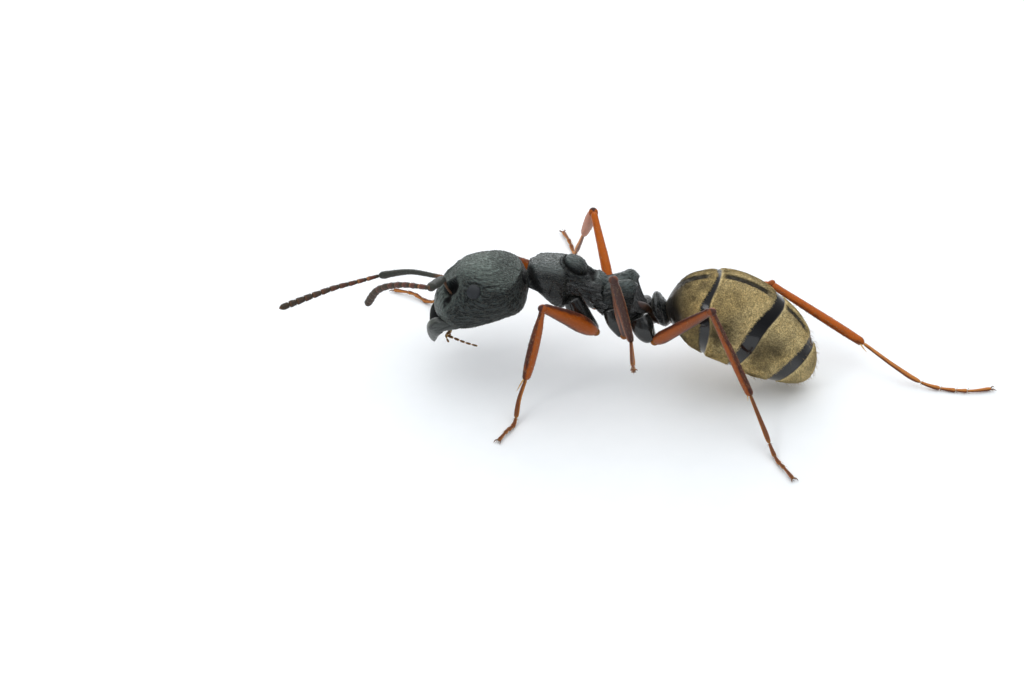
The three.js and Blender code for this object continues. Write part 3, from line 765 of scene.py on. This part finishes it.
def make_mandible(name, side):
    """A blade with a bulging outer face, and small teeth along its inner edge."""
    spine = [
        (0.47, -0.6, -0.44), (0.45, -0.9, -0.29), (0.4, -1.16, -0.22), (0.26, -1.37, -0.42),
        (0.1, -1.54, -0.74),
    ]
    stations = [
        (0, 0.1, 0.1, 0.1), (0.25, 0.15, 0.13, 0.15), (0.5, 0.15, 0.17, 0.24),
        (0.75, 0.11, 0.13, 0.15), (0.92, 0.06, 0.08, 0.07), (1, 0.03, 0.03, 0.03),
    ]
    grid, places, angle, centre = swept(spine, stations, (0.12, 0.12), 90, 80, 2.4)
    inner = smooth(0.02, -0.1, (grid - centre)[..., 0])
    grid = grid + np.array([1, 0, 0]) * (inner * 0.05)[..., None]
    # Painted light on the upper outer face, and painted shade on the inner side.
    painted_light = 0.55 * smooth(0.35, 0.8, np.sin(angle)) * smooth(0.35, 0.6, places) * (1 - inner)
    marks = jaw_marks(grid, 0.85 * inner * smooth(0.1, 0.3, places), 0.35, 0.2, painted_light)
    flip = np.array([side, 1, 1])
    jaw = Piece((from_head(grid * flip), marks))
    for i in range(TEETH):
        share = 0.52 + 0.42 * i / (TEETH - 1)
        root = curve(spine, [share])[0][0] + np.array([-0.055, -0.02, -0.07]) * (1.5 - share)
        size = 0.045 + 0.03 * (i % 2)
        spike = root + np.array([(0, 0, 0), (-0.5, -0.12, -0.6), (-0.8, -0.1, -1.1)]) * size
        taper = [(0, 0.026, 0.02, 0.02), (0.6, 0.016, 0.014, 0.014), (1, 0.004, 0.004, 0.004)]
        tooth = swept(spike, taper, (0.1, 0.2), 10, 12)[0]
        # The teeth carry painted shade.
        jaw.grid(from_head(tooth * flip), jaw_marks(tooth, 0.5))
    jaw.make("mandible_" + name + "_blade", MANDIBLE, "mandible_" + name)


# ---------------------------------------------------------------- trunk


def trunk_marks(grid, pit=0.0, rough=0.5, gloss=0.1, slant=0.0):
    """Marks of a trunk plate, whose wrinkles run backwards and down by slant."""
    x, y, z = np.moveaxis(grid, -1, 0)
    return {
        "lie": np.stack([x, z + slant * y, (y - slant * z) * 0.25], -1),
        "pit": np.clip(pit, 0, 1) + 0 * y,
        "rough": rough + 0 * y,
        "gloss": gloss + 0 * y,
        # Painted light where the plate faces up.
        "painted_light": 0.95 * smooth(0.66, 1.02, normals_of(grid)[..., 2]),
    }


def neck():
    spine = [(0, 0.14, 2.36), (0, 0.45, 2.4), (0, 0.7, 2.42)]
    stations = [(0, 0.17, 0.14, 0.15), (0.45, 0.18, 0.14, 0.14), (1, 0.26, 0.24, 0.15)]
    grid, places, _, centre = swept(spine, stations, (0.05, 0.05), 60, 60)
    grid = pushed(grid, centre, 0.01 * np.sin(places * 55) * smooth(0.05, 0.2, places))
    # The neck, deep between head and trunk, carries painted shade.
    return grid, trunk_marks(grid, 0.85, 0.2, 0.2)


def pronotum():
    spine = [(0, 0.49, 2.4), (0, 0.95, 2.42), (0, 1.56, 2.4)]
    stations = [
        (0, 0.34, 0.33, 0.06), (0.12, 0.44, 0.46, 0.09), (0.3, 0.53, 0.49, 0.23),
        (0.5, 0.57, 0.49, 0.47), (0.7, 0.57, 0.49, 0.61), (1, 0.5, 0.47, 0.68),
    ]
    grid, _, _, centre = swept(spine, stations, (0.07, 0.25), 150, 200, boxy(200, 2.8, 2.0))
    half = both_sides(grid)
    cheek = [(0.32, 0.55, 2.86), (0.43, 0.6, 2.72), (0.47, 0.7, 2.56), (0.48, 0.82, 2.42)]
    deep = near_line(half, cheek, 0.085)
    faint = near_line(half, [(0.0, 0.66, 2.95), (0.32, 0.6, 2.9)], 0.06)
    collar = [(0.3, 0.5, 2.4), (0.3, 0.62, 2.34), (0.33, 0.8, 2.23), (0.36, 1.0, 2.07), (0.38, 1.2, 1.96)]
    rim = near_line(half, collar, 0.05)
    shoulder = near_line(half, [(0.44, 0.8, 2.78), (0.46, 1.3, 2.78)], 0.16)
    lower = near_line(half, [(0.5, 1.0, 2.42), (0.52, 1.45, 2.38)], 0.07)
    seam = near_line(half, [(0.5, 1.44, 2.62), (0.5, 1.46, 2.3), (0.44, 1.36, 2.05)], 0.04)
    push = 0.025 * rim - 0.17 * deep - 0.03 * faint + 0.02 * shoulder - 0.03 * lower - 0.04 * seam
    # Painted shade in the deep groove and the seam.
    marks = trunk_marks(grid, 1.5 * deep + 0.8 * seam, 0.25 + 0.6 * smooth(2.62, 2.35, grid[..., 2]), 0.3)
    # A painted highlight along the collar rim.
    marks["painted_light"] = marks["painted_light"] + 1.3 * rim * (1 - deep)
    crests = folds(marks["lie"], 0.06)
    return pushed(grid, centre, push + 0.012 * (crests - 0.5) * marks["rough"]), marks


def mesonotum():
    spine = [(0, 1.1, 2.5), (0, 1.5, 2.48), (0, 1.9, 2.24), (0, 2.46, 1.94)]
    stations = [
        (0, 0.4, 0.46, 0.45), (0.3, 0.42, 0.46, 0.4), (0.45, 0.42, 0.36, 0.18),
        (0.58, 0.43, 0.4, 0.11), (0.72, 0.43, 0.45, 0.2), (1, 0.42, 0.36, 0.38),
    ]
    grid, _, _, centre = swept(spine, stations, (0.2, 0.1), 210, 240, boxy(240, 2.1, 2.6))
    half = both_sides(grid)
    cap_edge = [  # in the midline's plane, so that the seam shows as one line from the side
        (0, 1.25, 3.1), (0, 1.33, 2.95), (0, 1.5, 2.85), (0, 1.69, 2.76), (0, 1.91, 2.71), (0, 2.01, 2.58),
    ]
    seam = near_line(half * [0, 1, 1], cap_edge, 0.032)
    cap = near(half, (0, 1.52, 2.95), (0.46, 0.28, 0.36), 4)
    ledge = near(half, (0.16, 2.06, 2.62), (0.2, 0.13, 0.16))
    dip = near_line(half, [(0, 2.26, 2.48), (0.3, 2.28, 2.42), (0.44, 2.3, 2.2)], 0.06)
    front = near_line(half, [(0.45, 1.52, 2.5), (0.45, 1.52, 2.2), (0.4, 1.6, 1.95)], 0.03)
    knob = near(half, (0.46, 1.47, 2.66), 0.055)
    hollow = near_line(half, [(0.45, 1.75, 2.45), (0.45, 2.1, 2.34)], 0.06)
    push = 0.05 * cap + 0.05 * ledge - 0.1 * seam - 0.06 * dip - 0.05 * front + 0.06 * knob - 0.03 * hollow
    below = smooth(2.72, 2.55, grid[..., 2] + 0.25 * (grid[..., 1] - 1.6))
    # Painted shade in the seam, the front groove and the dip.
    pit = 1.2 * seam + 0.9 * front + 0.4 * dip
    marks = trunk_marks(grid, pit, 0.35 + 0.65 * below, 0.1 + 0.6 * below, 0.35)
    crests = folds(marks["lie"], 0.095)
    return pushed(grid, centre, push + 0.085 * (crests - 0.6) * below * (1 - seam) + 0.006 * crests), marks


def propodeum():
    spine = [(0, 2.16, 2.02), (0, 2.6, 2.04), (0, 3.24, 1.92)]
    stations = [
        (0, 0.42, 0.42, 0.4), (0.2, 0.44, 0.46, 0.46), (0.35, 0.45, 0.52, 0.5),
        (0.7, 0.45, 0.5, 0.46), (1, 0.36, 0.12, 0.34),
    ]
    grid, _, _, centre = swept(spine, stations, (0.12, 0.25), 200, 220, boxy(220, 2.9, 2.2))
    half = both_sides(grid)
    hump = near(half, (0.25, 2.8, 2.52), (0.17, 0.17, 0.3))
    saddle = np.exp(-((grid[..., 0] / 0.1) ** 2)) * near(grid, (0, 2.86, 2.5), (1, 0.34, 0.4))
    breath = near(half, (0.46, 2.8, 2.4), 0.085, 4) - 1.4 * near(half, (0.48, 2.8, 2.4), 0.04, 4)
    bulla = near(half, (0.42, 2.93, 2.06), (0.3, 0.13, 0.11))
    waist = near_line(half, [(0.46, 2.72, 2.26), (0.45, 2.95, 2.24)], 0.05)
    groove = near_line(half, [(0.46, 2.42, 2.42), (0.46, 2.5, 2.0), (0.42, 2.56, 1.7)], 0.035)
    shelf = near_line(half, [(0.46, 2.66, 1.9), (0.44, 2.95, 1.86), (0.36, 3.12, 1.9)], 0.03)
    push = 0.11 * hump - 0.12 * saddle + 0.04 * breath + 0.06 * bulla
    push = push - 0.03 * waist - 0.04 * groove - 0.05 * shelf
    glossy = np.clip(bulla * 1.2 + smooth(2.9, 2.98, grid[..., 1]) + 0.5 * breath, 0, 1)
    rough = (0.6 + 0.3 * smooth(2.45, 2.2, grid[..., 2])) * (1 - 0.75 * glossy)
    # Painted shade in the shelf, the groove and the waist.
    marks = trunk_marks(grid, 0.9 * shelf + 0.5 * groove + 0.4 * waist, rough, 0.15 + 0.7 * glossy, -0.2)
    crests = folds(marks["lie"], 0.08)
    push = push + 0.02 * (crests - 0.5) * rough * smooth(2.5, 2.35, grid[..., 2])
    grid = pushed(grid, centre, push, [0.55, 0.6, 1])
    away = (grid - HOLLOW_PLACE) / HOLLOW_RADII
    far = np.linalg.norm(away, axis=-1, keepdims=True)
    # Painted shade in the rear hollow, and painted light on the hump but not in the hollow.
    marks["pit"] = np.clip(marks["pit"] + smooth(1.02, 0.98, far[..., 0]), 0, 1)
    marks["painted_light"] = (marks["painted_light"] + 1.2 * hump) * (1 - marks["pit"])
    return np.where(far < 1, HOLLOW_PLACE + away / np.maximum(far, 0.2) * HOLLOW_RADII, grid), marks


def petiole():
    """The scale that stands up at the waist."""
    spine = [(0, 3.65, 1.4), (0, 3.55, 1.72), (0, 3.44, 1.98), (0, 3.37, 2.21)]
    stations = [
        (0, 0.2, 0.13, 0.13), (0.35, 0.31, 0.16, 0.17), (0.6, 0.32, 0.16, 0.17),
        (0.85, 0.28, 0.09, 0.11), (1, 0.2, 0.05, 0.06),
    ]
    grid, _, _, centre = swept(spine, stations, (0.25, 0.2), 100, 100, 2.1, (0, 1, 0))
    dent = near(both_sides(grid), (0.34, 3.5, 1.75), (0.2, 0.07, 0.22))
    grid = pushed(grid, centre, -0.03 * dent)
    # Painted shade in the dent.
    return grid, trunk_marks(grid, 0.3 * dent, 0.12, 0.6)


def petiole_stalk():
    """The thin stalk from the trunk, through the scale's foot, to the gaster."""
    spine = [(0, 2.86, 1.84), (0, 3.16, 1.78), (0, 3.42, 1.62), (0, 3.82, 1.72)]
    stations = [
        (0, 0.15, 0.13, 0.15), (0.32, 0.14, 0.12, 0.13), (0.42, 0.1, 0.09, 0.1),
        (0.6, 0.19, 0.12, 0.15), (0.85, 0.15, 0.12, 0.14), (1, 0.2, 0.16, 0.16),
    ]
    grid = swept(spine, stations, (0.05, 0.05), 70, 56)[0]
    lie = grid[..., [0, 2, 1]] * [1, 1, 0.25]
    # Painted shade towards the trunk.
    return grid, {"lie": lie, "core": 0.25, "joint": 0.0, "dusk": smooth(3.2, 3.0, grid[..., 1])}


def make_trunk():
    made = {plate.__name__: plate() for plate in (neck, pronotum, mesonotum, propodeum, petiole)}
    for name, plate in made.items():
        Piece(plate).make(name + "_shell", TRUNK_SHELL, name)
    Piece(petiole_stalk()).make("petiole_stalk", SINEW)
    return made


# ---------------------------------------------------------------- gaster

GASTER_SPINE = [
    (0, 3.6, 1.82), (0, 4.3, 1.84), (0, 5.1, 1.67), (0, 5.9, 1.22), (0, 6.46, 0.73), (0, 6.84, 0.26),
]
GASTER_STATIONS = [
    (t, w * GASTER_WIDTH / 2, h * GASTER_DEPTH / 2, h * GASTER_DEPTH / 2)
    for t, w, h in [
        (0, 0.74, 0.72), (0.2, 0.93, 0.93), (0.45, 0.99, 0.99), (0.65, 0.88, 0.88), (0.85, 0.76, 0.74),
        (1, 0.7, 0.68),
    ]
]


def plate_edge(i, angle):
    """Where the i-th plate ends along the gaster, which differs from back to belly."""
    if i in (0, 4):
        return 0 * angle + i / 4
    place, side, back, belly, flank = GASTER_SEAMS[i - 1]
    rise = np.sin(angle)
    high_flank = flank * np.exp(-(((rise - 0.65) / 0.4) ** 2))
    return place + side * np.cos(angle) ** 2 + high_flank + np.where(rise > 0, back * rise, -belly * rise)


def gaster_plate(i):
    """One plate: its bare front tucks under the plate before, and its edge stands proud."""
    first, last = i == 0, i == 3
    rows, sides = 100, 170
    s = np.linspace(0, 1, rows)[:, None] + np.zeros((1, sides))
    front, rear = plate_edge(i, around(sides) + 0 * s), plate_edge(i + 1, around(sides) + 0 * s)
    tuck = 0.0 if first else TUCK
    if first:
        s = 1 - np.cos(s * np.pi / 2)
    if last:
        s = np.sin(s * np.pi / 2)
    places = front - tuck + (rear - front + tuck) * s
    grid, places, angle, centre = swept(GASTER_SPINE, GASTER_STATIONS, (0.36, 0.34), places=places)
    into, left = (places - front) * GASTER_LENGTH, (rear - places) * GASTER_LENGTH
    if first:
        gold, behind_band, push = smooth(0.12, 0.6, into), smooth(-1, 0.2, into), 0 * into
    else:
        width, top = BANDS[i - 1]
        band = width * (top + (1.05 - top) * np.cos(angle) ** 2)
        gold, behind_band = smooth(band - 0.012, band + 0.02, into), smooth(band, band + 0.1, into)
        push = -0.014 + 0.014 * smooth(-0.03, 0.06, into - band)
    if not last:
        push = push + 0.004 - 0.04 * smooth(0.03, 0.0, left) ** 2

    # The plates lie lower on the belly, and swell a little near the waist.
    rise = np.sin(angle)
    low, high = smooth(0.1, -0.7, rise), smooth(0.2, 0.9, rise)
    push = push - 0.035 - 0.08 * low * smooth(0.75, 0.4, places)
    push = push + np.exp(-(((places - 0.12) / 0.09) ** 2)) * (0.055 * high + 0.1 * low)

    # Painted shade in the furrow along the back, at the front and on the flanks.
    furrow = smooth(0.135, 0.095, np.abs(grid[..., 0])) * (rise > 0) * gold
    furrow = furrow * smooth(0.03, 0.22, left - 0.5 if last else left) * behind_band
    flank = np.exp(-(((rise - 0.22) / 0.42) ** 2)) * smooth(0.05, 0.5, left - 0.4 if last else left)
    nose = 0.85 * smooth(0.85, 0.25, into) * smooth(-0.6, 0.1, rise) if first else 0
    grid = pushed(grid, centre, push - 0.035 * furrow)
    return grid, {
        "gold": np.clip(gold, 0, 1) * np.ones_like(places),
        "shade": np.clip(furrow + (0.25 if first else 0.66) * flank + nose, 0, 1),
        "lie": grid * [1, 0.25, 1],
        "matte": smooth(0.35, 0.75, rise),
    }


def make_gaster():
    made = [gaster_plate(i) for i in range(4)]
    for i, (grid, marks) in enumerate(made):
        plate = Piece()
        plate.grid(grid, marks, caps=(i == 0, i == 3))
        plate.make("gaster_plate_%d" % (i + 1), GASTER_SHELL, "gaster_%d" % (i + 1))
    return made


# ---------------------------------------------------------------- legs and feelers


def rod(spine, radii, rows, sides, ends, facing=(1, 0, 0.3), flat=0.0, glow=0.0, **extra):
    """A round limb with marks for its colours. Its radii are given at even steps, or as
    (place, radius). facing is the way its flatter faces look, glow is how far the painted
    glow of its core reaches its edges, and each extra mark is a value or a function of the place."""
    radii = [(i / (len(radii) - 1), r) if np.isscalar(r) else r for i, r in enumerate(radii)]
    way = unit(np.array(spine[-1], float) - np.array(spine[0], float))
    up = (0, 0, 1) if abs(way[2]) < 0.9 else (0, 1, 0)
    grid, places, _, centre = swept(spine, [(t, r, r, r) for t, r in radii], ends, rows, sides, 2.0, up)
    facing = unit(np.array(facing, float))
    offset = grid - centre
    grid = grid - facing * (offset @ facing)[..., None] * flat
    # Painted glow: the faces turned to facing get the orange core, and the edges stay dark.
    look = np.abs(unit(grid - centre + 1e-9) @ facing)
    marks = {
        "lie": grid - 0.75 * way * (grid @ way)[..., None],
        "core": glow + (1 - glow) * smooth(0.35, 0.92, look),
        "joint": 0 * places,
        "dusk": 0 * places,
    }
    for key, value in extra.items():
        marks[key] = value(places) if callable(value) else value + 0 * places
    # Painted shade on the underside.
    marks["dusk"] = np.clip(marks["dusk"] + 0.4 * smooth(0.1, -0.95, unit(offset + 1e-9)[..., 2]), 0, 1)
    return grid, marks


def make_coxa(key, root, trochanter, facing):
    """A tapered, keeled cone hanging from the trunk."""
    big = COXA_SIZES[key.split("_")[1]]
    knuckle = trochanter + unit(root - trochanter) * 0.02
    forward = np.array([0, COXA_FORWARD.get(key, 0.0), 0])
    spine = [root, root * 0.45 + knuckle * 0.55 + facing * 0.03 - forward, knuckle]
    stations = [
        (0, 0.2 * big, 0.2 * big, 0.2 * big), (0.45, 0.235 * big, 0.21 * big, 0.23 * big),
        (0.8, 0.17 * big, 0.15 * big, 0.17 * big), (1, 0.1, 0.1, 0.1),
    ]
    grid, places, angle, centre = swept(spine, stations, (0.1, 0.12), 80, 80, 2.2, (0, 1, 0))
    keel = np.exp(-((np.sin(angle - 0.6) / 0.25) ** 2)) * smooth(0.2, 0.6, places)
    marks = {"lie": grid * [1, 1, 0.3], "pit": 0.0, "rough": 0.35, "gloss": 0.6, "painted_light": 0.0}
    coxa = Piece((pushed(grid, centre, 0.025 * keel), marks))
    coxa.make("coxa_" + key, COXA_SHELL, "leg_" + key + "_coxa")


def make_foot(key, path, facing, dusk):
    """One long joint, three short ones and the last, with two claws. Returns the end of
    each joint and the way it points."""
    foot = Piece()
    tips = []
    for cut, after, thick in zip(FOOT_JOINTS[:-1], FOOT_JOINTS[1:], FOOT_RADII):
        line = curve(path, np.linspace(cut, after, 7))[0]
        radii = [thick * k for k in (0.72, 0.8, 0.88, 0.96, 1.05, 1.12, 0.9)]
        # The foot carries less of the leg's painted shade.
        foot.grid(*rod(line, radii, 30, 22, (0.05, 0.08), facing, dusk=0.45 * dusk,
                       joint=lambda p: 0.5 * smooth(0.1, 0.0, p) + 0.3 * smooth(0.92, 1, p)))
        tips.append((line[-1], unit(line[-1] - line[-2])))
    foot.make("foot_" + key, TARSUS, "leg_" + key + "_tarsus")

    claws = Piece()
    end, ahead = tips[-1]
    across = unit(np.cross(ahead, (0, 0, 1)))
    for hand in SIDES.values():
        start = end - ahead * 0.02 + across * 0.018 * hand
        bend = start + ahead * 0.06 + across * 0.045 * hand + np.array([0, 0, 0.012])
        point = start + ahead * 0.12 + across * 0.06 * hand - np.array([0, 0, 0.02])
        claws.grid(rod([start, bend, point], CLAW_RADII, 14, 12, (0.1, 0.1))[0], {})
    claws.make("claws_" + key, CLAW)
    return tips


def make_leg(key):
    side, pair = key.split("_")
    dusk, glow = LEG_LOOKS[key]
    root, trochanter, knee, ankle, *toes = [np.array(p, float) for p in LEGS[key]]
    facing = unit(np.cross(knee - trochanter, ankle - knee))
    if facing[0] * SIDES[side] < 0:
        facing = -facing
    make_coxa(key, root, trochanter, facing)

    # The femur, with the small orange trochanter that it turns on.
    way = unit(knee - trochanter)
    upper = trochanter - way * 0.02 + unit(root - trochanter) * 0.05
    bead = [upper, trochanter + way * 0.08, trochanter + way * 0.18]
    arch = unit(np.cross(facing, way))
    arch = arch * np.sign(arch[2] + 1e-9) * BOWS.get(key, 0.0)
    # Painted shade along the femur, deepest towards the knee.
    femur = rod([trochanter + way * 0.1, (trochanter + knee) / 2 + arch, knee],
                FEMUR_RADII[pair], 100, 48, (0.04, 0.05), facing, 0.18, glow,
                dusk=lambda p: dusk * (0.5 + 0.5 * smooth(0.2, 0.9, p)),
                joint=lambda p: 0.6 * smooth(0.07, 0.0, p))
    limb = Piece(rod(bead, [0.07, 0.095, 0.08], 24, 28, (0.3, 0.3), facing, joint=0.85, core=0.8), femur)
    limb.make("femur_" + key, LEG_SHELL, "leg_" + key + "_femur")

    # The tibia and the knuckle of the knee.
    way = unit(ankle - knee)
    # Painted shade along the tibia, deepest towards the knee.
    tibia = rod([knee, (knee + ankle) / 2, ankle],
                TIBIA_RADII[pair], 100, 44, (0.05, 0.05), facing, 0.22, glow,
                dusk=lambda p: dusk * (0.6 + 0.4 * smooth(0.5, 0, p)),
                joint=lambda p: 0.3 * smooth(0.94, 1.0, p))
    # The knuckle carries more painted shade than the tibia.
    cap = rod([knee - way * 0.07, knee + way * 0.02, knee + way * 0.12], [0.08, 0.12, 0.09], 20, 32,
              (0.4, 0.4), facing, 0.1, dusk=0.2 + 0.7 * dusk)
    Piece(tibia, cap).make("tibia_" + key, LEG_SHELL, "leg_" + key + "_tibia")
    tips = make_foot(key, [ankle - way * 0.02, *toes], facing, dusk)

    back = unit(np.cross(facing, way))
    if back[1] > 0:
        back = -back
    start, long = ankle - way * 0.06 + back * 0.06, SPUR_LENGTHS[pair]
    spine = [start, start + (way * 0.85 + back * 0.4) * long * 0.5, start + (way * 0.98 + back * 0.42) * long]
    spur = rod(spine, SPUR_RADII, 20, 12, (0.05, 0.1))[0]
    Piece((spur, {})).make("spur_" + key, SPUR)
    return femur[0], tibia[0], tips


def make_feeler(side):
    """Its first, long joint and the whip of eleven short ones. Returns their grids."""
    facing = (0, -1, 1)
    shaft = rod(SCAPES[side], SCAPE_RADII[side], 120, 40, (0.02, 0.04), facing, core=0.0,
                joint=lambda p: SCAPE_FOOT[side] * smooth(0.3, 0.1, p))
    Piece(shaft).make("scape_" + side + "_rod", FEELER, "scape_" + side)

    joints = []
    cuts = np.concatenate([[0], np.cumsum(WHIP_LENGTHS)]) / sum(WHIP_LENGTHS)
    for j, thick in enumerate(WHIP_RADII):
        last = j == len(WHIP_RADII) - 1
        line = curve(WHIPS[side], np.linspace(cuts[j], cuts[j + 1] - 0.0015, 5))[0]
        shape = (0.8, 1.0, 1.0, 0.8, 0.35) if last else (0.8, 0.9, 0.97, 1.03, 0.97)
        radii = [(thick + WHIP_EXTRA[side]) * k for k in shape]
        tip = 0.7 if j < 2 else 0.15  # how orange a joint's end is
        joints.append(rod(line, radii, 30, 28, (0.08, 0.3 if last else 0.08), facing,
                          joint=lambda p: tip * smooth(0.72, 0.95, p) + 0.2 * smooth(0.1, 0.0, p),
                          core=lambda p: (1 - j / 10) * smooth(0.1, 0.6, p)))
    Piece(*joints).make("funiculus_" + side + "_joints", WHIP, "funiculus_" + side)
    return [grid for grid, marks in [shaft, *joints]]


def make_palps():
    for side, flip in SIDES.items():
        palps = Piece()
        for cuts, spine in PALPS.items():
            # The right ones are held a little higher towards their tips.
            spine = [(x * flip, y, z + (0.14 * (y + 1.2) / 0.6 if flip < 0 else 0)) for x, y, z in spine]
            for a, b in zip(cuts[:-1], cuts[1:]):
                thick = 0.034 - 0.014 * a  # thinner towards the tip
                palps.grid(*rod(curve(spine, np.linspace(a, b - 0.01, 4))[0],
                                [thick * k for k in (0.55, 0.95, 1.0, 0.7)], 16, 16, (0.1, 0.1), core=0.3,
                                joint=lambda p: smooth(0.25, 0.0, p) + smooth(0.85, 1.0, p)))
        palps.make("palps_" + side + "_joints", PALP, "palps_" + side)


# ---------------------------------------------------------------- fur and hairs


def fur(piece, grid, weight, coat, marks=None):
    """Hairs lying over a grid, denser where weight is higher."""
    length, radius, lift, sway = next(sizes for sizes, parts in COATS.items() if coat in parts)
    count = COATS[length, radius, lift, sway][coat]
    root, normal, along, where, pick = scatter(grid, weight, count)
    turn = rng.normal(0, sway, count)[:, None]
    lie = along * np.cos(turn) + np.cross(normal, along) * np.sin(turn)
    size = length * rng.uniform(0.7, 1.25, count)
    marks = {key: pick(value[..., None]) for key, value in (marks or {}).items()}
    piece.hairs(root, lie, normal, size, radius, lift + rng.normal(0, 0.08, count), 0.3, where, marks)


def make_coats(head, trunk, gaster, legs, feelers):
    coat = Piece()
    grid, marks = head
    fur(coat, grid, 1 - np.clip(marks["pit"] * 2, 0, 1), "head")
    coat.make("fur_head", GREY_HAIR)

    coat = Piece()
    for name in ("pronotum", "mesonotum", "propodeum", "petiole"):
        grid, marks = trunk[name]
        fur(coat, grid, 1 - np.clip(marks["pit"] * 1.5 + marks["gloss"] * 0.5, 0, 1), name)
    coat.make("fur_trunk", GREY_HAIR)

    for i, (grid, marks) in enumerate(gaster, 1):
        coat = Piece()
        weight = marks["gold"] ** 2 * (1 - 0.75 * smooth(0.6, 0.9, marks["shade"])) + 1e-6
        # The hairs take the plates' gold and their painted shade.
        fur(coat, grid, weight, "gaster_%d" % i, {key: marks[key] for key in ("gold", "shade")})
        coat.make("fur_gaster_%d" % i, GASTER_FUR)

    # Long hairs under the last two plates and round the gaster's tip.
    coat = Piece()
    for grid, marks in gaster[2:]:
        fur(coat, grid, (smooth(0.3, -0.4, normals_of(grid)[..., 2]) + 0.15) * marks["gold"], "belly")
    fur(coat, grid, smooth(6.5, 6.9, grid[..., 1]) + 1e-4, "gaster_tip")
    coat.make("hairs_gaster", PALE_HAIR)

    # The legs' hairs, and a ring of seven round the end of each joint of a foot.
    coat = Piece()
    for femur, tibia, tips in legs:
        fur(coat, femur, 1, "femur")
        fur(coat, tibia, 1, "tibia")
        for tip, ahead in tips:
            side = unit(np.cross(ahead, (0.3, 0.2, 1)))
            for turn in np.arange(7) * 0.9:
                out = side * math.cos(turn) + np.cross(ahead, side) * math.sin(turn)
                coat.hairs((tip + out * 0.035)[None], unit(ahead * 0.8 + out * 0.5)[None], out[None],
                           length=0.075, radius=0.004, lift=0.2, bend=0.2, where=np.array([[0.5, 0.5]]))
    coat.make("hairs_legs", PALE_HAIR)

    coat = Piece()
    for scape, *joints in feelers:
        fur(coat, scape, 1, "scape")
        for grid in joints:
            fur(coat, grid, 1, "whip_joint")
    coat.make("hairs_feelers", GREY_HAIR)


head = make_head()
trunk = make_trunk()
gaster = make_gaster()
legs = [make_leg(key) for key in LEGS]
feelers = [make_feeler(side) for side in SIDES]
make_palps()
make_coats(head, trunk, gaster, legs, feelers)

# ---------------------------------------------------------------- stage, light, camera

FLOOR_REACH = 0.6
LIGHTS = {  # place, the point it faces, size and power
    "softbox_above": ((-0.02, 0.0, 0.12), (0, 0, 0), (0.32, 0.26), 0.275),
    "strip_front": ((0.09, -0.07, 0.1), (0, 0, 0.002), (0.03, 0.03), 0.02),
    "softbox_behind": ((-0.15, -0.03, 0.06), (0, 0, 0.002), (0.16, 0.08), 0.1),
}
WORLD_COLOUR, WORLD_STRENGTH = (0.8, 0.86, 0.92, 1), 0.46
LENS, SENSOR = 262.97, 36
AZIMUTH, ELEVATION, DISTANCE = math.radians(97), math.radians(31), 0.17
TARGET = np.array([-0.000042, -0.0029, 0])


def make_floor():
    mesh = bpy.data.meshes.new("floor")
    corners = [(-FLOOR_REACH, -FLOOR_REACH), (FLOOR_REACH, -FLOOR_REACH), (FLOOR_REACH, FLOOR_REACH),
               (-FLOOR_REACH, FLOOR_REACH)]
    mesh.from_pydata([(x, y, 0) for x, y in corners], [], [(0, 1, 2, 3)])
    floor = bpy.data.objects.new("floor", mesh)
    bpy.context.collection.objects.link(floor)
    s = Shader("floor_paper")
    s.set(Base_Color=s.mix(s.noise(0.6), (0.9, 0.92, 0.93), (0.93, 0.945, 0.955)), Roughness=0.8)
    s.set(Specular_IOR_Level=0.2)
    mesh.materials.append(s.material)


def place_facing(name, data, place, way):
    """Adds a lamp or the camera, looking along way."""
    made = bpy.data.objects.new(name, data)
    bpy.context.collection.objects.link(made)
    made.location = place
    made.rotation_euler = Vector(way.tolist()).to_track_quat("-Z", "Y").to_euler()
    return made


make_floor()
for name, (place, aim, size, power) in LIGHTS.items():
    lamp = bpy.data.lights.new(name, "AREA")
    lamp.shape = "RECTANGLE"
    lamp.size, lamp.size_y = size
    lamp.energy = power
    place_facing(name, lamp, place, np.array(aim) - np.array(place))

scene = bpy.context.scene
scene.world = bpy.data.worlds.new("studio")
scene.world.use_nodes = True
sky = scene.world.node_tree.nodes["Background"]
sky.inputs["Color"].default_value = WORLD_COLOUR
sky.inputs["Strength"].default_value = WORLD_STRENGTH
scene.view_settings.view_transform = "Standard"

lens = bpy.data.cameras.new("camera")
lens.lens, lens.sensor_width = LENS, SENSOR
lens.clip_start, lens.clip_end = 0.01, 5
back = np.array([
    math.sin(AZIMUTH) * math.cos(ELEVATION), -math.cos(AZIMUTH) * math.cos(ELEVATION), math.sin(ELEVATION),
])
scene.camera = place_facing("camera", lens, TARGET + back * DISTANCE, -back)
